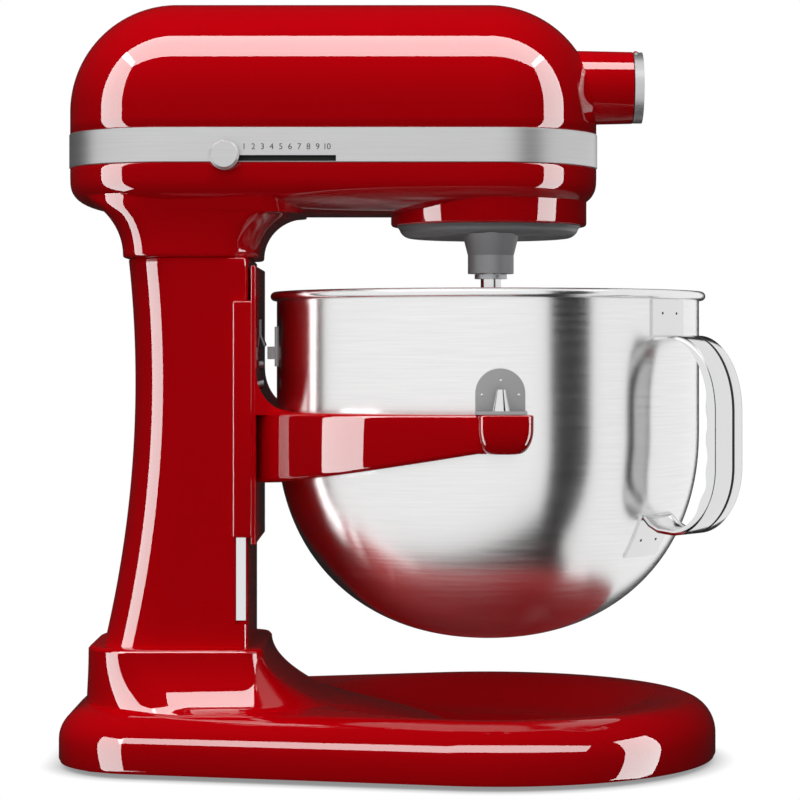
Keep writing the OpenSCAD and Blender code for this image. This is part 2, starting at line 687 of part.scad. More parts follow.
module motor_fan() color(dark) at_x(core_x0 + core_l + 10, motor_z) difference() {
    union() {
        cylinder(r = 8, h = 10);
        cylinder(r = core_r - 4, h = 2);
        for (k = [0:10]) rotate(360*k/11) translate([6, -0.8, 1]) cube([core_r - 11, 1.6, 9]);
    }
    translate([0, 0, -1]) cylinder(r = motor_r + 0.02, h = 20);
}

module speed_board() color("#2f5d3a") {
    y = -head_r + head_wall + 6.5;
    translate([slot_x0 - 12, y, head_floor + 6]) cube([slot_x1 - slot_x0 + 21, 1.6, 22]);
    for (x = [slot_x0 - 9, slot_x1 + 6]) translate([x, y + 0.1, belly_z + 6]) rotate([90, 0, 0])
        cylinder(r = 2, h = 5.9);
}

module speed_knob() color(grey) {
    y0 = -head_r - 0.8;
    translate([knob_x, y0, slot_z0 + slot_h]) rotate([90, 0, 0]) {
        cylinder(r = knob_d/2, h = 5);
        translate([0, 0, 4.9]) cylinder(r1 = knob_d/2, r2 = knob_d/2 - 1.2, h = 1.3);
    }
    translate([knob_x - 2, y0 - 1, slot_z0 + 0.5]) cube([4, 7.4, slot_h - 1]);
    translate([knob_x - 7, -head_r + head_wall + 0.9, slot_z0 - 2]) cube([14, 3.4, slot_h + 4]);
}

// ---- Bowl support ----

plate_back = post_front + 1.6;
plate_front = plate_back + 2.7;
plate_half = post_half + 2.4;
flange_out = post_half + 3.8;
support_z0 = 121;
support_z1 = 272;
flange_z0 = 125;
flange_z1 = 253;
flange_x0 = post_front - 8.3;
flange_x1 = post_front + 0.4;
arm_in = bowl_r + 1.9;
arm_top = 193.2;
arm_low0 = 152.4;           // underside of the arms at the post
arm_low1 = 173.1;           // and at the pads
pad_x0 = bowl_x - 9.2;
pad_x1 = bowl_x + 19;
pad_out = arm_in + 21.7;
pin_x = bowl_x + 2.8;
pin_y = arm_in + 11.6;
pin_shank = 3;
fillet_r = 22;
blend = 24;                 // angle over which the arms run into the support
lug_end = crank_x - crank_r - crank_pin_d/2 - 3;
lug_screw_r = 1.5;
lug_screw_z = 5.5;
rear_pin_z = arm_top + 31.5;         // of the raised bowl
latch_z = rear_pin_z + 18.5;

module side_prism(points, half) {
    translate([0, half, 0]) rotate([90, 0, 0]) linear_extrude(2*half) polygon(points);
}

module arm_plan() difference() {
    out = arm_in + arm_t;
    union() {
        intersection() {
            translate([bowl_x, 0]) circle(r = out, $fn = 96);
            translate([plate_back, -out]) square([pad_x0 + 6 - plate_back, 2*out]);
        }
        polygon([[plate_back, -plate_half], [bowl_x - out*cos(blend), -out*sin(blend)],
                 [bowl_x - out*cos(2*blend), -out*sin(2*blend)],
                 [bowl_x - out*cos(2*blend), out*sin(2*blend)],
                 [bowl_x - out*cos(blend), out*sin(blend)], [plate_back, plate_half]]);
    }
    translate([bowl_x, 0]) circle(r = arm_in, $fn = 96);
}

module pad() {
    r = 9;
    y0 = arm_in - 2;
    difference() {
        hull() for (x = [pad_x0, pad_x1], y = [y0, pad_out]) {
            sx = x == pad_x0 ? 1 : -1;
            sy = y == y0 ? 1 : -1;
            translate([x + sx*3, y + sy*3, arm_top - 3]) cylinder(r = 3, h = 3, $fn = 24);
            translate([x + sx*r, y + sy*r, arm_low1 + r]) sphere(r = r, $fn = 24);
        }
        translate([bowl_x, 0, 0]) cylinder(r = arm_in, h = 300, $fn = 96);
    }
}

module bowl_support() color(red) difference() {
    union() {
        translate([plate_back, -plate_half, support_z0])
            cube([plate_front - plate_back, 2*plate_half, support_z1 - support_z0]);
        mirror_y() {
            translate([flange_x1 - 1, post_half + gap, flange_z0])
                cube([plate_front - flange_x1 + 1, plate_half - post_half - gap, flange_z1 - flange_z0]);
            side_wall();
            pad();
        }
        intersection() {
            translate([0, 0, arm_low0 - 1]) linear_extrude(arm_top - arm_low0 + 1) arm_plan();
            side_prism([[plate_back - 1, arm_low0], [pad_x0, arm_low1], [pad_x1, arm_low1],
                        [pad_x1, arm_top], [plate_back - 1, arm_top]], pad_out);
        }
        difference() {
            side_prism([[plate_front - 1, arm_top - 1], [plate_front - 1, arm_top + fillet_r],
                        for (a = [0:15:90])
                            [plate_front + fillet_r*(1 - cos(a)), arm_top + fillet_r*(1 - sin(a))],
                        [plate_front + fillet_r, arm_top - 1]], plate_half);
            translate([bowl_x, 0, 0]) cylinder(r = arm_in, h = 300, $fn = 96);
        }
    }
    mirror_y() translate([pin_x, pin_y, arm_top - 10]) cylinder(r = pin_shank, h = 20);
    for (s = [-1, 1]) at_x(plate_back - 1, crank_pin_z + s*lug_screw_z) {
        cylinder(r = lug_screw_r, h = 10);
        translate([0, 0, 1 + plate_front - plate_back]) cylinder(r = 3.2, h = 20);
    }
}

// The raised strip that wraps the post's side, with bevelled ends
module side_wall() {
    b = flange_out - plate_half;
    w = flange_x1 - flange_x0;
    translate([flange_x0, post_half + gap, flange_z0])
        cube([w, plate_half - post_half - gap, flange_z1 - flange_z0]);
    translate([flange_x0 + b/2, post_half + 1, flange_z0 + b])
        cube([w - b, flange_out - post_half - 1, flange_z1 - flange_z0 - 2*b]);
    translate([post_front - rail_lip - rail_w + gap, post_half - rail_depth + rail_t + 0.4, flange_z0 + 3])
        cube([rail_w - 2*gap, rail_depth, flange_z1 - flange_z0 - 8]);
}

// Bracket that reaches through the post's window to the crank pin
module lift_lug() color(grey) difference() {
    play = crank_pin_d + 3;
    union() {
        translate([lug_end, -lug_t/2, crank_pin_z - lug_half_h])
            cube([plate_back - 0.05 - lug_end, lug_t, 2*lug_half_h]);
        translate([plate_back - 7, -lug_window + 0.4, crank_pin_z - lug_half_h])
            cube([6.95, 2*lug_window - 0.8, 2*lug_half_h]);
    }
    translate([crank_x - crank_r - crank_pin_d/2 - 1, -10, crank_pin_z - play/2])
        cube([crank_r*(1 - cos(crank_swing)) + crank_pin_d + 2, 20, play]);
    for (s = [-1, 1]) at_x(plate_back - 6, crank_pin_z + s*lug_screw_z) cylinder(r = lug_screw_r, h = 10);
}

module lug_screws() color(steel) for (s = [-1, 1])
    at_x(plate_front + seat, crank_pin_z + s*lug_screw_z)
        bolt(lug_screw_r - 0.02, plate_front - plate_back + 5, 2.8, 1.8);

module arm_pins() color(steel) mirror_y() translate([pin_x, pin_y, 0]) {
    translate([0, 0, arm_top - 9.5]) cylinder(r = pin_shank - 0.02, h = 11);
    translate([0, 0, arm_top + seat]) cylinder(r1 = arm_pin_d/2, r2 = arm_pin_d/2 - 2.7, h = 12.9);
}

// Leaf spring on the support that the bowl's rear pin snaps past
module bowl_latch() color(steel) {
    t = 0.8;
    x = plate_front + 0.08;
    side_prism([[x, latch_z], [x, latch_z - 9], [x + 2.3, latch_z - 15],
                [x + 2.3 + t, latch_z - 14], [x + t, latch_z - 8.6], [x + t, latch_z]], 7);
}

// ---- Lift lever ----

lever_len = 72;
lever_t = 4;
lever_y = post_half + 1;
crank_y = lug_t/2 + 2;
crank_t = 4;
lever_pin_x = crank_x - crank_r*cos(crank_swing);
module along_y(x, y, z) { translate([x, y, z]) rotate([-90, 0, 0]) children(); }

module lever_crank() color(steel) {
    along_y(crank_x, crank_y, crank_z) cylinder(r = shaft_r, h = lever_y + lever_t + 2 - crank_y);
    along_y(crank_x, crank_y, crank_z) cylinder(r = shaft_r + 3, h = crank_t);
    along_y(lever_pin_x, crank_y, crank_pin_z) cylinder(r = crank_pin_d/2 + 3, h = crank_t);
    along_y(lever_pin_x, -lug_t/2 - 1.5, crank_pin_z) cylinder(r = crank_pin_d/2, h = crank_y + lug_t/2 + 3);
    translate([crank_x, crank_y, crank_z]) rotate([0, crank_swing - 180, 0]) translate([0, 0, -5])
        cube([crank_r, crank_t, 10]);
}

module lever_arm() color(steel) difference() {
    union() {
        along_y(crank_x, lever_y, crank_z) cylinder(r = shaft_r + 4, h = lever_t);
        translate([crank_x - 6, lever_y, crank_z]) cube([12, lever_t, lever_len]);
        along_y(crank_x, lever_y, crank_z + lever_len) cylinder(r = 6, h = lever_t);
        along_y(crank_x, lever_y + lever_t - 1, crank_z + lever_len) cylinder(r = 3, h = 20);
    }
    along_y(crank_x, lever_y - 1, crank_z) cylinder(r = shaft_r + 0.02, h = lever_t + 2);
}

module lever_grip() color(dark) along_y(crank_x, lever_y + lever_t + 0.1, crank_z + lever_len) difference() {
    rotate_extrude() polygon([[0, 0], [5, 0], for (a = [0:15:90]) [5 + 5*sin(a), 12 - 10*cos(a)],
                              for (a = [0:15:90]) [10*cos(a), 20 + 7*sin(a)]]);
    translate([0, 0, -1]) cylinder(r = 3.02, h = 20.5);
}

// ---- Bowl ----

bowl_foot_z = bowl_rim_z - bowl_depth;
bowl_turn_z = bowl_foot_z + bowl_curve;
bead_r = 2.5;
power = 2/2.2;
// Outside of the bowl grown by g, from its foot up to the rim
function bowl_line(g) = [
    [0, bowl_foot_z - g],
    each [for (a = [16:6:88])
        [(bowl_r + g)*pow(sin(a), power), bowl_turn_z - (bowl_curve + g)*pow(cos(a), power)]],
    [bowl_r + g, bowl_turn_z + 2], [bowl_r + g, bowl_rim_z - bead_r]];

module bowl_body(g) { translate([bowl_x, 0, 0]) rotate_extrude($fn = 120)
    polygon([each bowl_line(g), [0, bowl_rim_z - bead_r]]); }

module bowl() color(steel) translate([bowl_x, 0, 0]) rotate_extrude($fn = 120) union() {
    inner = bowl_line(-bowl_wall);
    polygon([each bowl_line(0), for (i = [len(inner) - 1:-1:0]) inner[i]]);
    translate([bowl_r + 1, bowl_rim_z - bead_r]) circle(r = bead_r);
}

handle_out = bowl_r + 38;
handle_top = bowl_rim_z - 24.5;
handle_low = bowl_rim_z - 129.8;
handle_w = 27;
handle_t = 2;
flange_depth = 8;
handle_bend = 30;
bracket_t = 1.2;

// Turns a piece drawn in the XZ plane about the bowl's axis to the handle's place
module at_handle() { translate([bowl_x, 0, 0]) rotate(-handle_angle) children(); }

module handle_outline(g) {
    n = 48;
    circles = [[60, handle_low + handle_bend, handle_bend], [60, handle_top - handle_bend, handle_bend],
               [handle_out - handle_bend, handle_top - handle_bend, handle_bend],
               [handle_out - handle_bend, handle_low + handle_bend, handle_bend]];
    polygon([for (k = [0:n - 1]) rim_point(circles, 360*(k + 0.5)/n, g)]);
}

module handle_slab(g, w) { translate([0, w/2, 0]) rotate([90, 0, 0]) linear_extrude(w) handle_outline(g); }

module bowl_handle() color(steel) difference() {
    at_handle() difference() {
        handle_slab(0, handle_w);
        handle_slab(-flange_depth, handle_w + 2);
        handle_slab(-handle_t, handle_w - 2*handle_t);
    }
    bowl_body(bracket_t + 0.1);
}

// The curved feet of the handle, spot welded to the bowl
module handle_plates() color(steel) intersection() {
    difference() {
        bowl_body(bracket_t);
        bowl_body(0.03);
    }
    at_handle() for (z = [[handle_top - 2, bowl_rim_z - 2*bead_r - 0.5], [handle_low - 13, handle_low + 10]])
        translate([60, -handle_w/2 - 2, z.x]) cube([80, handle_w + 4, z.y - z.x]);
}

module side_brackets() color(grey) mirror_y() {
    half = 12.9;
    lip = pin_y + 8;
    z = arm_top + gap;
    straight = 10.4;
    intersection() {
        difference() { bowl_body(bracket_t); bowl_body(0.03); }
        union() {
            translate([pin_x - half, 60, z]) cube([2*half, 80, straight]);
            translate([pin_x, 60, z + straight]) rotate([-90, 0, 0]) cylinder(r = half, h = 80);
        }
    }
    difference() {
        translate([pin_x - half, 90, z]) cube([2*half, lip - 90, 1.7]);
        bowl_body(bracket_t);
        translate([pin_x, pin_y, z - 1]) cylinder(r = arm_pin_d/2 + 0.35, h = 4);
    }
}

module rear_bracket() color(steel) {
    half = 14;
    z = rear_pin_z - 7.5;
    x = bowl_x - bowl_r - 3.4;
    intersection() {
        difference() { bowl_body(bracket_t); bowl_body(0.03); }
        translate([bowl_x - bowl_r - 2*bracket_t, -half, z]) cube([20, 2*half, 22]);
    }
    difference() {
        mirror_y() translate([x - 1.4, 9, z + 4]) cube([6, 3, 7]);
        bowl_body(bracket_t - 0.05);
    }
    translate([x, -12, rear_pin_z]) rotate([-90, 0, 0]) cylinder(r = 1.5, h = 24);
}

base();
feet();
foot_screws();
post();
post_bolts();
neck_bolts();
rail_strips();
head_lower();
head_cover();
trim_band();
slot_liner();
hub_barrel();
hub_hinge_pin();
hub_bush();
cord_gland();
speed_board();
motor_core();
motor_coils();
motor_bracket();
brush_holders();
brushes();
motor_bushes();
gear_frame();
shaft_bushes();
centre_bush();
ring_gear();
bowl_support();
lift_lug();
lug_screws();
arm_pins();
bowl_latch();
lever_crank();
lever_arm();
lever_grip();
bowl();
bowl_handle();
handle_plates();
side_brackets();
rear_bracket();
planetary_disc();
centre_shaft();
crown_gear();
carrier_pin();
beater_shaft();
beater_pinion();
shaft_washer();
beater_pin();
hub_shaft();
crown_pinion();
spur_gear();
motor_shaft();
armature();
commutator();
motor_fan();
motor_pinion();
speed_knob();
hub_cover();
lock_screw();
lock_knob();
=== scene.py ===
"""Bowl-lift stand mixer: the visible pieces, their finishes, the light and the camera."""
import bpy
import json
import math
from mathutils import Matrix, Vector

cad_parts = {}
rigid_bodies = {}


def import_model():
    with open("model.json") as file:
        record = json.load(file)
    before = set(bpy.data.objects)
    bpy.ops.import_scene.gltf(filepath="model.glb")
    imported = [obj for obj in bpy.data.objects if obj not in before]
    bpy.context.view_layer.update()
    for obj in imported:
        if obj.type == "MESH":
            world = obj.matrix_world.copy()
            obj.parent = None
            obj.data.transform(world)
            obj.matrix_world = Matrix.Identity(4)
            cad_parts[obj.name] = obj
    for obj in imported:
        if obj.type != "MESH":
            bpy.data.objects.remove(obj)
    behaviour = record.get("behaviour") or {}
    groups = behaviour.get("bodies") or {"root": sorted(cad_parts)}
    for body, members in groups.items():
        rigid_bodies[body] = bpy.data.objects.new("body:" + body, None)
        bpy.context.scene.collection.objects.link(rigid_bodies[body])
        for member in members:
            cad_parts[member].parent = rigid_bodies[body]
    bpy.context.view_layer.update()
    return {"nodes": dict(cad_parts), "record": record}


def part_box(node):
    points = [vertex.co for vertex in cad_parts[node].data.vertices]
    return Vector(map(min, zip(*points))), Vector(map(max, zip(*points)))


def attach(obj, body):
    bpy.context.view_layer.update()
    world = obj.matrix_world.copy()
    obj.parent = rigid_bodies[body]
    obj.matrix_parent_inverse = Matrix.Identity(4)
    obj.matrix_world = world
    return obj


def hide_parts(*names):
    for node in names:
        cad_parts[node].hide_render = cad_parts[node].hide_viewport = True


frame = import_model()
scene = bpy.context.scene

# ---- Red enamel ----
# The castings are aluminium, shot smooth and coated with a deep red enamel under
# a clear gloss. The coat has a faint orange peel that only shows in reflections.


class Term:
    """A socket that can stand in an expression."""

    def __init__(self, tree, socket):
        self.tree = tree
        self.socket = socket

    def _math(self, operation, a, b, clamp=False):
        node = self.tree.nodes.new("ShaderNodeMath")
        node.operation = operation
        node.use_clamp = clamp
        for k, value in enumerate((a, b)):
            if isinstance(value, Term):
                self.tree.links.new(value.socket, node.inputs[k])
            else:
                node.inputs[k].default_value = value
        return Term(self.tree, node.outputs[0])

    def __add__(self, other):
        return self._math("ADD", self, other)

    def __radd__(self, other):
        return self._math("ADD", other, self)

    def __mul__(self, other):
        return self._math("MULTIPLY", self, other)

    def __rmul__(self, other):
        return self._math("MULTIPLY", other, self)

    def clamped(self):
        return self._math("ADD", self, 0.0, True)


OBJECT_OUT, MIX_COLOUR_OUT = 3, 2  # where a node gives object coordinates, and a mixed colour


class Finish:
    """A material with one Principled shader, and nodes added by type."""

    def __init__(self, name, colour, roughness, metallic=0.0, **constants):
        self.name = name
        self.material = bpy.data.materials.new(name)
        self.material.use_nodes = True
        self.tree = self.material.node_tree
        self.shader = self.tree.nodes["Principled BSDF"]
        self.set("Base Color", (*colour, 1.0))
        self.set("Roughness", roughness)
        self.set("Metallic", metallic)
        for socket, value in constants.items():
            self.set(socket.replace("_", " "), value)

    def set(self, socket, value):
        """Gives an input of the shader a value or a link."""
        if isinstance(value, Term):
            self.tree.links.new(value.socket, self.shader.inputs[socket])
        else:
            self.shader.inputs[socket].default_value = value

    def node(self, kind, settings=None, out=0, **inputs):
        """Adds a node; an input goes by its name, or by its number as in _6."""
        made = self.tree.nodes.new("ShaderNode" + kind)
        for key, value in (settings or {}).items():
            setattr(made, key, value)
        for key, value in inputs.items():
            number = key[1:]
            socket = made.inputs[int(number) if number.isdigit() else key.replace("_", " ")]
            if isinstance(value, Term):
                self.tree.links.new(value.socket, socket)
            else:
                socket.default_value = value
        return Term(self.tree, made.outputs[out])

    def noise(self, size, detail=3.0, stretch=(1, 1, 1)):
        """Soft noise with spots of about this size in metres."""
        where = self.node("Mapping", Vector=self.node("TexCoord", out=OBJECT_OUT), Scale=stretch)
        return self.node("TexNoise", Vector=where, Scale=1/size, Detail=detail)

    def between(self, mask, dark, light):
        """A colour that goes from dark to light with a mask."""
        return self.node("Mix", {"data_type": "RGBA"}, MIX_COLOUR_OUT, Factor=mask, _6=(*dark, 1.0),
                         _7=(*light, 1.0))

    def bump(self, height, depth):
        """Roughens the surface by a height map; the depth is in metres."""
        self.set("Normal", self.node("Bump", Height=height, Distance=depth, Strength=1.0))


enamel = Finish("red_enamel", (0.62, 0.0, 0.004), 0.4, Specular_IOR_Level=0.0, Coat_Weight=1.0,
                Coat_Roughness=0.01, Coat_IOR=1.6)
cloud = enamel.noise(0.09)
enamel.set("Base Color", enamel.between(cloud, (0.60, 0.0, 0.003), (0.64, 0.0, 0.005)))
enamel.set("Coat Weight", enamel.noise(0.03)*0.02 + 0.98)
enamel.bump(enamel.noise(0.006), 0.00002)

painted = []  # all enamelled pieces, which get strip lights of their own

# ---- Base casting ----
# One hollow aluminium casting: a broad round front with a shallow recess under the
# bowl, narrowing to the rear. It stands on rubber feet and carries the post.

BOWL_X, NOSE_X, NOSE_R = 54.0, 56.6, 124
HEEL_X, HEEL_Y, HEEL_R = -127.0, 31, 54
RIM_Z, RIM_DROP, RIM_LIP = 33.8, 19.0, 0.8
NOSE_LEAN, HEEL_LEAN = 17, 22
DISH_R, DISH_Z, DISH_STEPS = 104.0, 17.0, 28
FOOT_TURN = ((-3.5, 2.0), (-1.0, 2.4), (0.0, 4.5))
RING_POINTS = 160


def outline(circles, grow=0.0, height=0.0):
    """Points tightly round some circles (x, y, r), in millimetres."""
    points = []
    for k in range(RING_POINTS):
        a = 2*math.pi*(k + 0.5)/RING_POINTS
        u, v = math.cos(a), math.sin(a)
        x, y, r = max(circles, key=lambda c: c[0]*u + c[1]*v + c[2])
        points.append((x + (r + grow)*u, y + (r + grow)*v, height))
    return points


def skin(name, rings, body, finish, smooth=50, close=True):
    """A shell that grows ring by ring from a circle; the rings are in millimetres."""
    bpy.ops.object.select_all(action="DESELECT")
    count = len(rings[0])
    bpy.ops.mesh.primitive_circle_add(vertices=count, radius=1.0)
    piece = bpy.context.object
    piece.name = name
    bpy.ops.object.mode_set(mode="EDIT")
    bpy.ops.mesh.select_all(action="SELECT")
    for _ in rings[1:]:
        bpy.ops.mesh.extrude_region_move(TRANSFORM_OT_translate={"value": (0, 0, 1)})
    bpy.ops.object.mode_set(mode="OBJECT")
    first = math.atan2(piece.data.vertices[0].co.y, piece.data.vertices[0].co.x)
    for v in piece.data.vertices:
        turn = (math.atan2(v.co.y, v.co.x) - first)/(2*math.pi)*count
        v.co = Vector(rings[round(v.co.z)][round(turn) % count])*0.001
    bpy.ops.object.mode_set(mode="EDIT")
    if close:
        bpy.ops.mesh.select_all(action="DESELECT")
        bpy.ops.mesh.select_non_manifold()
        bpy.ops.mesh.fill_holes(sides=0)
    bpy.ops.mesh.select_all(action="SELECT")
    bpy.ops.mesh.remove_doubles(threshold=1e-6)
    bpy.ops.mesh.normals_make_consistent(inside=False)
    bpy.ops.object.mode_set(mode="OBJECT")
    bpy.ops.object.shade_smooth_by_angle(angle=math.radians(smooth))
    piece.data.materials.append(finish.material)
    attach(piece, body)
    return piece


def arc(steps, start=0.0, stop=90.0):
    """Even angles in radians between two angles in degrees."""
    return [math.radians(start + (stop - start)*k/steps) for k in range(steps + 1)]


EGG = [(NOSE_X, 0, NOSE_R), (HEEL_X, -HEEL_Y, HEEL_R), (HEEL_X, HEEL_Y, HEEL_R)]


def inset_egg(part):
    """The base's circles, leaning in further at the rear than round the front."""
    return [(x, y, r - (NOSE_LEAN if y == 0 else HEEL_LEAN)*part) for x, y, r in EGG]


def dish_ring(r, z):
    """A ring of the recess, round the middle of the bowl."""
    return outline([(BOWL_X, 0, 0)], r, z)


wall = [outline(EGG, grow, z) for grow, z in FOOT_TURN]
wall += [outline(inset_egg(1 - math.cos(a)), 0, RIM_Z - RIM_DROP*(1 - math.sin(a))) for a in arc(16, 0, 84)]
wall += [outline(inset_egg(1), -RIM_LIP, RIM_Z), dish_ring(DISH_R + 1, RIM_Z)]
dish = []
for k in range(DISH_STEPS + 1):
    fall = 1 - k/DISH_STEPS
    dish.append(dish_ring(DISH_R*(1 + fall)/2, DISH_Z + (RIM_Z - DISH_Z)*(1 - math.cos(math.pi*fall))/2))
dish += [dish_ring(r, DISH_Z) for r in (40, 18, 4)]
base = skin("base_casting", wall + dish, "stand", enamel)
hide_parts("base")

# ---- Base collar ----
# Part of the same casting: a raised socket for the foot of the post, with a soft rim
# on top and a wide hollow sweep down into the base all round.

POST_FRONT, POST_DEPTH, WAIST_Z, WAIST_CURVE = -77.0, 63.8, 209, 0.00082
COLLAR_TOP, COLLAR_MOUTH, COLLAR_EDGE, COLLAR_ROUND = 65.0, 9.5, 3.5, 3.2
COLLAR_HALF, COLLAR_REAR_R, COLLAR_FRONT_R = 57.5, 34, 12
COLLAR_REAR, COLLAR_FRONT = 8, 8.5
SWEEP_DROP, SWEEP_WIDTH, SWEEP_STEPS = 28.0, 26, 16
APRON = ((78, 16.0), (71, 19.0), (64, 22.5), (57, 26.0), (50, 29.0), (43, 31.6), (36, 33.6))


def post_rear(z):
    """The post's back at a height; it is hollowed, and slimmest at the waist."""
    return POST_FRONT - POST_DEPTH - WAIST_CURVE*(z - WAIST_Z)**2


def held(ring, circles, soft=0.5):
    """Softly pulls in the points of a ring that lie outside the line round some circles."""
    sides = [(math.cos(a), math.sin(a)) for a in arc(359, 0, 359)]
    sides = [(u, v, max(x*u + y*v + r for x, y, r in circles)) for u, v in sides]
    kept = []
    for x, y, z in ring:
        over, u, v = max((x*u + y*v - reach, u, v) for u, v, reach in sides)
        back = soft*math.log1p(math.exp(over/soft))
        kept.append((x - back*u, y - back*v, z))
    return kept


def collar_ring(grow, height):
    """The collar's outline, grown outwards but kept on the top of the base."""
    spread = max(grow, 0)
    x0 = post_rear(COLLAR_TOP - 1) - COLLAR_REAR + COLLAR_REAR_R + 0.9*spread
    x1 = POST_FRONT + COLLAR_FRONT - COLLAR_FRONT_R
    y0 = COLLAR_HALF - 0.5*spread - COLLAR_REAR_R
    y1 = COLLAR_HALF - 0.5*spread - COLLAR_FRONT_R
    ring = outline([(x0, -y0, COLLAR_REAR_R), (x0, y0, COLLAR_REAR_R), (x1, y1, COLLAR_FRONT_R),
                    (x1, -y1, COLLAR_FRONT_R)], grow, height)
    return held(ring, inset_egg(0.5), 2.0)


rings = [collar_ring(grow, z) for grow, z in APRON]
for k in range(SWEEP_STEPS + 1):
    drop = SWEEP_DROP*(1 - k/SWEEP_STEPS)
    rings.append(collar_ring(drop**2/SWEEP_WIDTH, COLLAR_TOP - 2.0 - drop))
rings += [collar_ring(-COLLAR_ROUND*(1 - math.cos(a)), COLLAR_TOP - COLLAR_EDGE*(1 - math.sin(a)))
          for a in arc(5, 20)]
rings.append(collar_ring(-COLLAR_MOUTH, COLLAR_TOP))
collar = skin("base_collar", rings, "stand", enamel)
painted += [base, collar]

# ---- Post ----
# A tall hollow casting, flat at the front where the lift runs and rounded behind,
# slimmest at its middle. It is bolted to the base from below.

POST_HALF, POST_REAR_R, POST_EDGE_R = 48.0, 31.5, 4
POST_FOOT, POST_TOP, POST_BREAK = 57.1, 276.5, 0.9
RAIL_GAP, RAIL_END_GAP, RAIL_SUNK = 0.3, 2, 3
GLAND_Z, GLAND_HOLE_R, GLAND_HOLE_DEPTH = 250, 7.05, 14


def post_ring(z, grow=0.0):
    """The post's outline: wide rounds behind, and small edges in front."""
    x0, x1 = post_rear(z) + POST_REAR_R, POST_FRONT - POST_EDGE_R
    y0, y1 = POST_HALF - POST_REAR_R, POST_HALF - POST_EDGE_R
    return outline([(x0, -y0, POST_REAR_R), (x0, y0, POST_REAR_R), (x1, y1, POST_EDGE_R),
                    (x1, -y1, POST_EDGE_R)], grow, z)


def block(low, high):
    """Adds a plain block between two corners, in millimetres."""
    bpy.ops.object.select_all(action="DESELECT")
    bpy.ops.mesh.primitive_cube_add(size=1, location=[(a + b)/2000 for a, b in zip(low, high)],
                                    scale=[(b - a)/1000 for a, b in zip(low, high)])
    bpy.ops.object.transform_apply(location=True, rotation=True, scale=True)
    return bpy.context.object


def apply(piece):
    """Applies all modifiers of a piece."""
    bpy.ops.object.select_all(action="DESELECT")
    piece.select_set(True)
    bpy.context.view_layer.objects.active = piece
    for modifier in list(piece.modifiers):
        bpy.ops.object.modifier_apply(modifier=modifier.name)


def carve(piece, cutter):
    """Cuts a shape out of a piece, and takes the shape away."""
    cut = piece.modifiers.new("cut", "BOOLEAN")
    cut.object = cutter
    cut.operation = "DIFFERENCE"
    apply(piece)
    bpy.data.objects.remove(cutter)


stations = [POST_FOOT] + [62 + 6*k for k in range(36)] + [POST_TOP - POST_BREAK]
rings = [post_ring(z) for z in stations] + [post_ring(POST_TOP, -POST_BREAK)]
post = skin("post_casting", rings, "stand", enamel)
(rail_x0, _, rail_z0), (rail_x1, _, rail_z1) = [[1000*c for c in corner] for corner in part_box("rail_strips")]
for side in (-1, 1):
    y = side*POST_HALF
    carve(post, block((rail_x0 - RAIL_GAP, y - RAIL_SUNK, rail_z0 - RAIL_END_GAP),
                      (rail_x1 + RAIL_GAP, y + RAIL_SUNK, rail_z1 + RAIL_END_GAP)))
bpy.ops.object.select_all(action="DESELECT")
bpy.ops.mesh.primitive_cylinder_add(vertices=48, radius=GLAND_HOLE_R/1000, depth=GLAND_HOLE_DEPTH/1000,
                                    rotation=(0, math.pi/2, 0),
                                    location=((post_rear(GLAND_Z) + 2)/1000, 0, GLAND_Z/1000))
bpy.ops.object.transform_apply(location=True, rotation=True, scale=True)
carve(post, bpy.context.object)
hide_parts("post")
painted.append(post)

# ---- Head: lower casting ----
# The lower half of the head, cast in one with its neck and the planetary's cup. Its
# underside turns in softly all round, and the cover closes it from above.

HEAD_REAR_X, DRIVE_X, HEAD_R = -118.6, 54.7, 60
HEAD = [(HEAD_REAR_X, 0, HEAD_R), (DRIVE_X, 0, HEAD_R)]
BELLY_Z, BELLY_H, JOINT_Z = 322.0, 21.0, 327.4


def underside(x, y):
    """Height of the head's underside over a point."""
    spine = min(max(x, HEAD_REAR_X), DRIVE_X)
    out = min(1.0, math.hypot(x - spine, y)/HEAD_R)
    return BELLY_Z - BELLY_H*(1 - out**3)**(1/3)


rings = [outline(HEAD, -HEAD_R*(1 - math.cos(a)**(2/3)), BELLY_Z - BELLY_H*math.sin(a)**(2/3))
         for a in reversed(arc(22, 0, 88))]
rings += [outline(HEAD, grow, z)
          for grow, z in ((0, 324.5), (0, JOINT_Z - 0.8), (-0.9, JOINT_Z), (-3.0, JOINT_Z))]
lower = skin("head_underside", rings, "stand", enamel)
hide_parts("head_lower")
painted.append(lower)

# ---- Neck ----
# The foot of the head's lower casting, bolted down on the post. It sweeps out into
# the underside in a tight curve in front and in a wide one behind.

NECK_Z, NECK_Y, NECK_R, NECK_REAR, NECK_FRONT, NECK_INSET = 278.0, 28, 22, 2, 5, 3
FRONT_RISE, FRONT_SWEEP, REAR_RISE, REAR_SWEEP, SIDE_SWEEP = 23, 24, 36, 40, 12


def neck_ring(z):
    """The neck's outline at a height, cut off where it meets the head's underside."""
    swing = math.asin(min(1.0, (z - NECK_Z)/FRONT_RISE))
    sweep = math.asin((z - NECK_Z)/REAR_RISE)
    x0 = post_rear(POST_TOP) - NECK_REAR - REAR_SWEEP*(1 - math.cos(sweep)) + NECK_R
    x1 = POST_FRONT + NECK_FRONT + FRONT_SWEEP*(1 - math.cos(swing)) - NECK_R
    y = NECK_Y + SIDE_SWEEP*(1 - math.cos(sweep))
    ring = outline([(x0, -y, NECK_R), (x0, y, NECK_R), (x1, y, NECK_R), (x1, -y, NECK_R)], 0, z)
    ring = held(ring, [(x, y, r - NECK_INSET) for x, y, r in HEAD], 1.5)
    return [(px, py, min(z, underside(px, py) + 0.4)) for px, py, _ in ring]


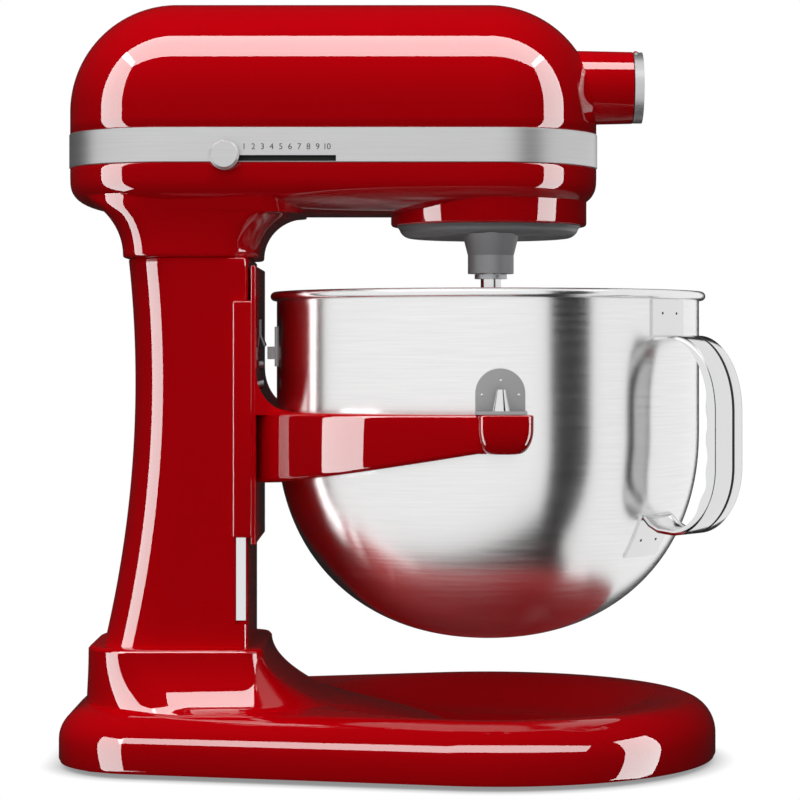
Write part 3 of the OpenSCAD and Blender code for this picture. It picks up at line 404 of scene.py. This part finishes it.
middle = (post_rear(POST_TOP) + POST_FRONT)/2
rings = [[(middle + (x - middle)*k, y*k, z) for x, y, _ in neck_ring(NECK_Z)]
         for k, z in ((0.965, POST_TOP + 0.1), (0.99, NECK_Z - 1))]
rings += [neck_ring(NECK_Z + FRONT_RISE*math.sin(a)) for a in arc(20)]
rings += [neck_ring(NECK_Z + FRONT_RISE + 1.5*k) for k in range(1, 9)]
neck = skin("neck", rings, "stand", enamel)
painted.append(neck)

# ---- Planetary cup ----
# The round housing under the front of the head's lower casting. Its lower edge is
# rounded, and the planetary turns inside it.

CUP_R, CUP_Z = 51.6, 295
cup_line = [(0, CUP_Z + 8), (0, CUP_Z + 1), (0.6, CUP_Z + 0.2), (1.6, CUP_Z), (2.4, CUP_Z + 0.4),
            (2.9, CUP_Z + 1.4), (2.9, CUP_Z + 23)]
rings = [outline([(DRIVE_X, 0, CUP_R)], grow, z) for grow, z in cup_line]
cup = skin("planetary_cup", rings, "stand", enamel)
painted.append(cup)

# ---- Head: cover ----
# The upper half of the head, a half-round shell with rounded ends, screwed down
# over the motor. Its lower edge is hidden behind the band.

COVER_Z, ROUND_Z = 345.6, 358.5
cover_edge = [(-3.0, COVER_Z), (-0.9, COVER_Z), (0, COVER_Z + 0.8), (0, 352)]
rings = [outline(HEAD, grow, z) for grow, z in cover_edge]
rings += [outline(HEAD, -HEAD_R*(1 - math.cos(a)), ROUND_Z + HEAD_R*math.sin(a)) for a in arc(34, 0, 89)]
cover = skin("head_shell", rings, "stand", enamel)
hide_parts("head_cover")
painted.append(cover)

# ---- Trim band ----
# A strip of brushed stainless steel laid in a recess right round the head. It hides
# the joint of the castings, and a slot is cut in it for the speed knob.

brushed = Finish("satin_silver", (0.56, 0.56, 0.565), 0.36, 0.85)
grain = brushed.noise(0.0009, 4.0, (0.02, 0.02, 1.0))
brushed.set("Base Color", brushed.between(grain, (0.52, 0.52, 0.525), (0.62, 0.62, 0.625)))
brushed.set("Roughness", grain*0.10 + 0.32)
brushed.bump(grain, 0.00002)
BAND_Z0, BAND_Z1, BAND_EDGE, BAND_PROUD, BAND_BACK = 327.15, 345.85, 0.3, 0.5, -1.3
SLOT_X0, SLOT_X1, SLOT_Z0, SLOT_Z1 = -91.8, -29.1, 327.6, 330.8
edge = BAND_PROUD - BAND_EDGE
band_line = [(BAND_BACK, BAND_Z0), (edge, BAND_Z0), (BAND_PROUD, BAND_Z0 + BAND_EDGE),
             (BAND_PROUD, BAND_Z1 - BAND_EDGE), (edge, BAND_Z1), (BAND_BACK, BAND_Z1), (BAND_BACK, BAND_Z0)]
rings = [outline(HEAD, grow, z) for grow, z in band_line]
band = skin("trim_band_strip", rings, "stand", brushed, 30, close=False)
carve(band, block((SLOT_X0, -HEAD_R - 5, SLOT_Z0), (SLOT_X1, 5 - HEAD_R, SLOT_Z1)))
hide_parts("trim_band")

# ---- Speed numbers ----
# Small plain figures from 1 to 10, printed in dark grey on the band above the slot.
# They are evenly spaced, and the knob's place when switched off lies before the 1.

ink = Finish("printed_figures", (0.045, 0.045, 0.05), 0.5)
ink.set("Roughness", ink.noise(0.001)*0.1 + 0.45)
FIGURE_X0, FIGURE_X1, FIGURE_Y, FIGURE_Z, FIGURE_SIZE = -78.4, -34.0, -60.56, 333.9, 4.6
for number in range(1, 11):
    bpy.ops.object.text_add(rotation=(math.pi/2, 0, 0))
    figure = bpy.context.object
    figure.name = f"speed_figure_{number}"
    figure.data.body = str(number)
    figure.data.size = FIGURE_SIZE/1000
    figure.data.align_x = "CENTER"
    figure.data.space_character = 0.9
    x = FIGURE_X0 + (FIGURE_X1 - FIGURE_X0)*(number - 1)/9
    figure.location = (x/1000, FIGURE_Y/1000, FIGURE_Z/1000)
    bpy.ops.object.select_all(action="DESELECT")
    figure.select_set(True)
    bpy.ops.object.convert(target="MESH")
    bpy.ops.object.transform_apply(location=True, rotation=True, scale=True)
    figure.data.materials.append(ink.material)
    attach(figure, "stand")

# ---- Bowl support ----
# A cast yoke that slides on the front of the post: a plate with flanges that wrap
# the post's sides, and two arms that reach round the bowl to a pad on each side.

PLATE_X0, PLATE_X1, PLATE_HALF, PLATE_Z0, PLATE_Z1 = -75.4, -72.7, 50.4, 121, 272
ARM_IN, ARM_OUT, ARM_BACK, ARM_EDGE, ARM_SPREAD = 119.4, 130.9, 127.8, 2.6, 88
ARM_TOP, ARM_ROOT_Z, ARM_END_Z, ARM_RUN = 193.2, 152.4, 173.1, 120.2
ROOT_TOP, ROOT_HALF = 216, 50.2
FLANGE_IN, FLANGE_OUT, FLANGE_X0, FLANGE_X1, FLANGE_Z0, FLANGE_Z1 = 48.3, 51.8, -85.3, -74.5, 125, 253
PAD_X0, PAD_X1, PAD_Y0, PAD_Y1, PAD_R, TOE_RUN, TOE_RISE = 44.8, 73.0, 118.2, 141.1, 5, 8, 13


def slab(name, low, high, body, finish, bevel, steps=3):
    """A block between two corners in millimetres, with its edges rounded."""
    piece = block(low, high)
    piece.name = name
    edges = piece.modifiers.new("edges", "BEVEL")
    edges.width = bevel/1000
    edges.segments = steps
    apply(piece)
    bpy.ops.object.shade_smooth_by_angle(angle=math.radians(35))
    piece.data.materials.append(finish.material)
    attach(piece, body)
    return piece


def rounded(half_w, z0, z1, r):
    """A rounded rectangle as (across, height) points."""
    points = []
    for cx, cz, a0 in [(half_w - r, z1 - r, 0), (r - half_w, z1 - r, 90), (r - half_w, z0 + r, 180),
                       (half_w - r, z0 + r, 270)]:
        points += [(cx + r*math.cos(a), cz + r*math.sin(a)) for a in arc(6, a0, a0 + 90)]
    return points


def arm_low(x):
    """Height of the arms' underside, which rises evenly from the plate to the pads."""
    return ARM_ROOT_Z + (ARM_END_Z - ARM_ROOT_Z)*max(0.0, min(1.0, (x - PLATE_X0)/ARM_RUN))


rings = []
for turn in arc(90, 180 - ARM_SPREAD, 180 + ARM_SPREAD):
    out = min(ARM_OUT, -ARM_BACK/math.cos(turn))
    mid, half = (out + ARM_IN)/2, (out - ARM_IN)/2
    section = rounded(half, arm_low(BOWL_X + mid*math.cos(turn)), ARM_TOP, ARM_EDGE)
    rings.append([(BOWL_X + (mid + across)*math.cos(turn), (mid + across)*math.sin(turn), z)
                  for across, z in section])
arms = skin("support_arms", rings, "bowl_support", enamel)
plate = slab("support_plate", (PLATE_X0, -PLATE_HALF, PLATE_Z0), (PLATE_X1, PLATE_HALF, PLATE_Z1),
             "bowl_support", enamel, 0.9)
rings = []
for k in range(41):
    y = ROOT_HALF*(k/20 - 1)
    reach = BOWL_X - math.sqrt((ARM_IN + 0.2)**2 - y*y) - PLATE_X1
    fillet = [(PLATE_X1 + reach*(1 - math.cos(a)), y, ROOT_TOP - (ROOT_TOP - ARM_TOP - 0.3)*math.sin(a))
              for a in arc(12)]
    rings.append([(PLATE_X1 - 1, y, ARM_TOP - 2), (PLATE_X1 - 1, y, ROOT_TOP), *fillet,
                  (PLATE_X1 + reach, y, ARM_TOP - 2)])
root = skin("support_root", rings, "bowl_support", enamel)
painted += [arms, plate, root]
HANDS = ((-1, "left"), (1, "right"))
for side, hand in HANDS:
    low, high = sorted((side*FLANGE_IN, side*FLANGE_OUT))
    painted.append(slab(f"support_flange_{hand}", (FLANGE_X0, low, FLANGE_Z0), (FLANGE_X1, high, FLANGE_Z1),
                        "bowl_support", enamel, 1.6, 4))
pad_line = [(TOE_RUN*(1 - math.sin(a)), ARM_END_Z + TOE_RISE*(1 - math.cos(a))) for a in arc(10)]
pad_line += [(0, 190), (0, ARM_TOP - 0.8), (0.25, ARM_TOP - 0.2), (0.8, ARM_TOP)]
for side, hand in HANDS:
    rings = []
    for inset, z in pad_line:
        x0, x1 = PAD_X0 + 0.8*inset + PAD_R, PAD_X1 - inset - PAD_R
        y0, y1 = PAD_Y0 + 0.5*inset + PAD_R, PAD_Y1 - 0.7*inset - PAD_R
        ring = outline([(x0, y0, PAD_R), (x1, y0, PAD_R), (x1, y1, PAD_R), (x0, y1, PAD_R)], 0, z)
        rings.append([(x, side*y, z) for x, y, z in ring][::side])
    painted.append(skin(f"support_pad_{hand}", rings, "bowl_support", enamel))
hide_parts("bowl_support")

# ---- Bowl ----
# Deep-drawn stainless steel with a rolled bead at the rim, brushed all round on
# both sides. It hangs by its side brackets on the pins of the support.

BOWL_R, BOWL_TOP, FOOT_Z, CURVE, SHEET, BEAD_R = 117.5, 258.5, 66.5, 116.0, 1.2, 2.5
TURN_Z = FOOT_Z + CURVE
FULLNESS = 0.909


def bowl_side(grow):
    """The bowl's line as (radius, height) points: a full round bottom under a plain wall."""
    line = [((BOWL_R + grow)*math.sin(a)**FULLNESS, TURN_Z - (CURVE + grow)*math.cos(a)**FULLNESS)
            for a in arc(44, 1.2, 90)]
    return line + [(BOWL_R + grow, z) for z in (200, 220, 240, 250)]


bead = [(BOWL_R + 1 + BEAD_R*math.cos(a), BOWL_TOP - BEAD_R + BEAD_R*math.sin(a)) for a in arc(20, -115, 205)]
profile = bowl_side(0) + bead + bowl_side(-SHEET)[::-1]
steel_bowl = Finish("brushed_bowl", (0.80, 0.80, 0.80), 0.22, 1.0, Anisotropic=0.8, Anisotropic_Rotation=0.25)
lines = steel_bowl.noise(0.0011, 5.0, (0.03, 0.03, 1.0))
steel_bowl.set("Base Color", steel_bowl.between(lines, (0.74, 0.74, 0.74), (0.86, 0.86, 0.86)))
steel_bowl.set("Roughness", lines*0.12 + 0.18)
steel_bowl.bump(lines, 0.00003)
bowl_turns = [2*math.pi*k/RING_POINTS for k in range(RING_POINTS)]
rings = [[(BOWL_X + r*math.cos(a), r*math.sin(a), z) for a in bowl_turns] for r, z in profile]
bowl = skin("bowl_shell", rings, "bowl", steel_bowl, 60)
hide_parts("bowl")

# ---- Bowl handle ----
# A strap pressed from thicker steel, with turned-in edges that are deepest along the
# grip, a shallow groove down its face and finger waves in its near edge.

polished = Finish("polished_steel", (0.72, 0.72, 0.725), 0.12, 1.0)
polished.set("Roughness", polished.noise(0.004)*0.08 + 0.12)
STRAP_HALF, EDGE_R, STRAP_SHEET, STRAP_DEPTH = 15.0, 2.2, 1.4, 2.6
GROOVE_IN, GROOVE_OUT, GROOVE_DEPTH = 2.6, 5.2, 0.9
FINGERS_LOW, FINGERS_HIGH, FINGER, FINGER_DEPTH, EDGE_EXTRA = 137, 205, 17, 0.6, 1.9
UPPER_X, UPPER_Z, UPPER_RISE, LOWER_X, LOWER_Z, LOWER_DROP = 129, 194, 40, 128, 164.7, 36
GRIP_X, LOOP_X, LOOP_Z, HANDLE_TURN = 155, 130, 181, math.radians(37)
turn_x, turn_y = math.cos(HANDLE_TURN), math.sin(HANDLE_TURN)
grip = [(116.9, UPPER_Z + UPPER_RISE), (122, UPPER_Z + UPPER_RISE)]
grip += [(UPPER_X + (GRIP_X - UPPER_X)*math.sin(a), UPPER_Z + UPPER_RISE*math.cos(a)) for a in arc(20)]
grip += [(GRIP_X, z) for z in (190, 186, 182, 178, 174, 170, 167)]
grip += [(LOWER_X + (GRIP_X - LOWER_X)*math.cos(a), LOWER_Z - LOWER_DROP*math.sin(a)) for a in arc(20)]
grip += [(119, 129.6), (113.5, 132.6), (109.8, 136.5)]


def strap_section(near, far):
    """The strap's section as (depth, across) points; near and far are the depths of its edges."""
    side, inner, flat = STRAP_HALF, STRAP_HALF - STRAP_SHEET, STRAP_HALF - EDGE_R
    groove = [(0, GROOVE_IN), (GROOVE_DEPTH, GROOVE_IN + 0.4), (GROOVE_DEPTH, GROOVE_OUT - 0.4),
              (0, GROOVE_OUT)]
    face = [(near, -side), (EDGE_R, -side), (0.65, -side + 0.65), (0, -flat), *groove, (0, flat),
            (0.65, side - 0.65), (EDGE_R, side), (far, side)]
    return face + [(far, inner), (EDGE_R, inner), (STRAP_SHEET, flat), (STRAP_SHEET, -flat), (EDGE_R, -inner),
                   (near, -inner)]


rings = []
for k, (r, z) in enumerate(grip):
    (r0, z0), (r1, z1) = grip[max(k - 1, 0)], grip[min(k + 1, len(grip) - 1)]
    size = math.hypot(r1 - r0, z1 - z0)
    nr, nz = (z0 - z1)/size, (r1 - r0)/size
    far = STRAP_DEPTH + EDGE_EXTRA*max(nr, 0)**2
    wave = FINGER_DEPTH*(1 - math.cos(2*math.pi*(z - FINGERS_LOW)/FINGER))
    if not FINGERS_LOW < z < FINGERS_HIGH:
        wave = 0
    rings.append([(BOWL_X + (r - depth*nr)*turn_x + across*turn_y, across*turn_x - (r - depth*nr)*turn_y,
                   z - depth*nz) for depth, across in strap_section(far + wave, far)])
strap = skin("bowl_handle_strap", rings, "bowl", polished)
# Painted shade: the floor of the groove on the strap's outer face is given a near-black finish, though it is
# the same steel
painted_groove_shade = Finish("handle_groove", (0.02, 0.02, 0.02), 0.5)
painted_groove_shade.set("Roughness", painted_groove_shade.noise(0.001)*0.1 + 0.45)
strap.data.materials.append(painted_groove_shade.material)
for face in strap.data.polygons:
    x, y, z = face.center*1000
    across = (x - BOWL_X)*turn_y + y*turn_x
    out, up = (x - BOWL_X)*turn_x - y*turn_y - LOOP_X, z - LOOP_Z
    outward = (face.normal.x*turn_x - face.normal.y*turn_y)*out + face.normal.z*up
    if GROOVE_IN < across < GROOVE_OUT and outward > 5:
        face.material_index = 1
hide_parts("bowl_handle")

# ---- Spot welds ----
# Small round marks left by the spot welder: three on each side bracket, and two on
# each foot of the handle. They stand a little proud of the sheet.

weld = Finish("weld_mark", (0.10, 0.10, 0.10), 0.4, 0.9)
weld.set("Roughness", weld.noise(0.001)*0.1 + 0.35)
WELD_R, WELD_SUNK = 0.9, 0.45
BRACKET_R, UPPER_FOOT_R, LOWER_FOOT_R = 118.7, 118.7, 106.7
marks = [(side*(90 - across), BRACKET_R, z, polished) for side in (-1, 1)
         for across, z in ((1.5, 210.6), (-3.2, 203.2), (6.0, 203.2))]
marks += [(-37 + 3.4*side, UPPER_FOOT_R, 245.8, weld) for side in (-1, 1)]
marks += [(-38 + 3.9*side, LOWER_FOOT_R, 125.2, weld) for side in (-1, 1)]
for number, (angle, r, z, finish) in enumerate(marks, 1):
    a = math.radians(angle)
    away = r - WELD_SUNK
    bpy.ops.object.select_all(action="DESELECT")
    bpy.ops.mesh.primitive_uv_sphere_add(
        segments=16, ring_count=10, radius=WELD_R/1000,
        location=((BOWL_X + away*math.cos(a))/1000, away*math.sin(a)/1000, z/1000))
    dot = bpy.context.object
    dot.name = f"spot_weld_{number}"
    bpy.ops.object.transform_apply(location=True, rotation=True, scale=True)
    bpy.ops.object.shade_smooth_by_angle(angle=math.radians(40))
    dot.data.materials.append(finish.material)
    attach(dot, "bowl")

# ---- Fittings carried over ----
# Turned, stamped and moulded pieces whose solids already have the right form.
# Each gets the finish of its metal, rubber or plastic.

satin = Finish("satin_bracket", (0.33, 0.33, 0.335), 0.38, 0.9)
satin.set("Roughness", satin.noise(0.002, 4)*0.12 + 0.32)
cast_grey = Finish("cast_grey", (0.30, 0.30, 0.31), 0.42, 0.3)
cast_grey.set("Roughness", cast_grey.noise(0.003)*0.1 + 0.38)
cast_grey.bump(cast_grey.noise(0.0012), 0.00002)
zinc = Finish("zinc_steel", (0.50, 0.51, 0.53), 0.34, 0.9)
zinc.set("Roughness", zinc.noise(0.003)*0.15 + 0.28)
alloy = Finish("frame_alloy", (0.42, 0.42, 0.44), 0.5, 0.8)
alloy.bump(alloy.noise(0.0015), 0.00005)
black = Finish("black_plastic", (0.012, 0.012, 0.013), 0.35)
black.set("Roughness", black.noise(0.002)*0.1 + 0.3)
rubber = Finish("black_rubber", (0.015, 0.015, 0.015), 0.7)
rubber.bump(rubber.noise(0.001), 0.00005)
machined = Finish("gear_steel", (0.33, 0.33, 0.34), 0.35, 0.9)
machined.set("Roughness", machined.noise(0.001)*0.15 + 0.28)
laminated = Finish("core_steel", (0.14, 0.14, 0.15), 0.55, 0.6)
laminated.bump(laminated.noise(0.0008, 2.0, (1, 0.02, 0.02)), 0.0001)
copper = Finish("copper_wire", (0.52, 0.20, 0.08), 0.35, 0.9)
copper.bump(copper.noise(0.0009), 0.0001)
bronze = Finish("bush_bronze", (0.47, 0.31, 0.14), 0.4, 0.9)
bronze.bump(bronze.noise(0.0008), 0.00004)
carbon = Finish("carbon", (0.03, 0.03, 0.03), 0.6)
carbon.bump(carbon.noise(0.0006), 0.00005)
# The board's green is darkened almost to black: painted shade for the dark inside of the head, seen through
# the knob's slot
board_with_painted_shade = Finish("board_green", (0.004, 0.02, 0.009), 0.4)
board_with_painted_shade.set("Roughness", board_with_painted_shade.noise(0.002)*0.15 + 0.32)
finishes = {finish.name: finish for finish in (
    enamel, brushed, steel_bowl, polished, satin, cast_grey, zinc, alloy, black, rubber, machined, laminated,
    copper, bronze, carbon, board_with_painted_shade)}
replaced = {"base", "post", "head_lower", "head_cover", "trim_band", "bowl_support", "bowl", "bowl_handle"}


def dress(node, finish):
    """Gives a carried-over node its finish."""
    thing = frame["nodes"][node]
    thing.data.materials.clear()
    thing.data.materials.append(finish.material)
    return thing


for row in frame["record"]["subparts"]:
    if row["node"] not in replaced:
        thing = dress(row["node"], finishes[row["material_slot"]])
        if row["material_slot"] == "red_enamel":
            painted.append(thing)
dress("rear_bracket", satin)
dress("bowl_latch", satin)

# ---- Studio ----
# A pale floor that fades into white, with a painted contact shadow round the foot of the mixer,
# soft light from all round, and strip lights whose edges show in the gloss of the enamel.

AIR_LIGHT, AIR_IN_GLOSS, AIR_SEEN = 0.28, 0.015, 1.0
world = bpy.data.worlds.new("studio")
scene.world = world
world.use_nodes = True
air = world.node_tree
path = air.nodes.new("ShaderNodeLightPath")
in_gloss, seen = [air.nodes.new("ShaderNodeMix") for _ in range(2)]
for mix, ray, tone in ((in_gloss, "Is Glossy Ray", AIR_IN_GLOSS), (seen, "Is Camera Ray", AIR_SEEN)):
    mix.data_type = "RGBA"
    air.links.new(path.outputs[ray], mix.inputs[0])
    mix.inputs[7].default_value = (tone, tone, tone, 1)
in_gloss.inputs[6].default_value = (AIR_LIGHT, AIR_LIGHT, AIR_LIGHT, 1)
air.links.new(in_gloss.outputs[MIX_COLOUR_OUT], seen.inputs[6])
air.links.new(seen.outputs[MIX_COLOUR_OUT], air.nodes["Background"].inputs["Color"])

bpy.ops.object.select_all(action="DESELECT")
bpy.ops.mesh.primitive_plane_add(size=8, location=(0, 0, -0.0002))
floor = bpy.context.object
floor.name = "floor"
white = Finish("floor_white", (0.9, 0.9, 0.9), 0.8)
# Painted contact shadow: the floor's glow turns grey where ambient occlusion finds the mixer close by
painted_contact_shadow = white.node("AmbientOcclusion", {"samples": 16}, 1, Distance=0.012)
glow_with_painted_shadow = white.node("Emission", Color=white.between(painted_contact_shadow.clamped(), (0.25, 0.25, 0.25), (1.0, 1.0, 1.0)))
bounce = white.node("BsdfDiffuse", Color=(0.06, 0.05, 0.05, 1))
both = white.node("MixShader", _0=white.node("LightPath"), _1=bounce, _2=glow_with_painted_shadow)
white.tree.links.new(both.socket, white.tree.nodes["Material Output"].inputs["Surface"])
floor.data.materials.append(white.material)
floor.visible_glossy = False
floor.visible_shadow = False

upper_set = bpy.data.collections.new("painted_above_base")
for piece in painted:
    if piece != base:
        upper_set.objects.link(piece)
base_set = bpy.data.collections.new("base_only")
base_set.objects.link(base)
metal_set = bpy.data.collections.new("bare_pieces")
for thing in list(bpy.data.objects):
    if thing.type == "MESH" and thing not in painted and thing != floor:
        metal_set.objects.link(thing)


def lamp(name, place, aim, width, height, radiance, only=None, gloss=True, diffuse=True):
    """A square-edged soft light that faces a point, in metres; radiance is what a mirror shows."""
    data = bpy.data.lights.new(name, "AREA")
    data.shape = "RECTANGLE"
    data.size, data.size_y = width, height
    data.energy = radiance*math.pi*width*height
    light = bpy.data.objects.new(name, data)
    scene.collection.objects.link(light)
    light.location = place
    light.rotation_euler = (Vector(aim) - Vector(place)).to_track_quat("-Z", "Y").to_euler()
    light.visible_camera = False
    light.visible_glossy = gloss
    light.visible_diffuse = diffuse
    if only:
        light.light_linking.receiver_collection = only


STRIP_Y, STRIP_WIDTH, STRIP_GLARE = -0.42, 0.56, 9.5
lamp("top_strip", (-0.02, STRIP_Y, 1.40), (-0.02, STRIP_Y, 0), 2.3, STRIP_WIDTH, STRIP_GLARE, upper_set,
     diffuse=False)
lamp("left_strip", (-1.15, STRIP_Y, 0.3), (0, STRIP_Y, 0.3), STRIP_WIDTH, 2.6, STRIP_GLARE, upper_set,
     diffuse=False)
lamp("base_strip", (0.08, -1.2, 0.66), (0.08, -0.085, 0.02), 2.6, 0.47, 8.5, base_set, diffuse=False)
lamp("base_left_strip", (-1.119, -0.805, -0.1), (-0.148, -0.1, -0.1), 0.69, 1.7, STRIP_GLARE, base_set,
     diffuse=False)
lamp("base_right_strip", (1.31, -0.30, -0.1), (0.13, -0.095, -0.1), 0.53, 1.7, STRIP_GLARE, base_set,
     diffuse=False)
lamp("right_strip", (1.15, STRIP_Y, 0.3), (0, STRIP_Y, 0.3), STRIP_WIDTH, 2.6, STRIP_GLARE, upper_set,
     diffuse=False)
lamp("front_fill", (-0.6, -3.0, 0.9), (0, 0, 0.25), 2.4, 2.0, 1.7, gloss=False)
lamp("top_fill", (-0.3, -0.3, 2.2), (0, 0, 0.2), 2.0, 1.6, 2.6, gloss=False)


def panel(name, turn, spread, radiance):
    """A tall wall of light round the metal; turn and spread are angles seen from the bowl."""
    x, z, away = BOWL_X/1000, 0.1, 1.3
    a = math.radians(turn)
    lamp(name, (x + away*math.sin(a), -away*math.cos(a), z), (x, 0, z),
         2*away*math.tan(math.radians(spread/2)), 4.5, radiance, metal_set, diffuse=False)


panel("metal_front", -34.5, 131, 1.02)
panel("metal_right", 103, 100, 0.98)
lamp("metal_top", (0, -0.5, 1.6), (0.05, 0, 0.2), 2.6, 1.6, 1.0, metal_set, diffuse=False)

# ---- Camera ----
# A long lens square to the side with the speed knob, about a metre and a half away.
# It looks level, and its frame is shifted down instead of the camera being tilted.

CAMERA_X, CAMERA_AWAY, CAMERA_Z = 5.2, 1488, 226.3
camera = bpy.data.objects.new("camera", bpy.data.cameras.new("camera"))
scene.collection.objects.link(camera)
camera.data.lens = 119.88
camera.data.sensor_width = 36
camera.data.shift_y = -0.0625
camera.location = (CAMERA_X/1000, -CAMERA_AWAY/1000, CAMERA_Z/1000)
camera.rotation_euler = (math.pi/2, 0, 0)
scene.camera = camera
scene.view_settings.view_transform = "Standard"
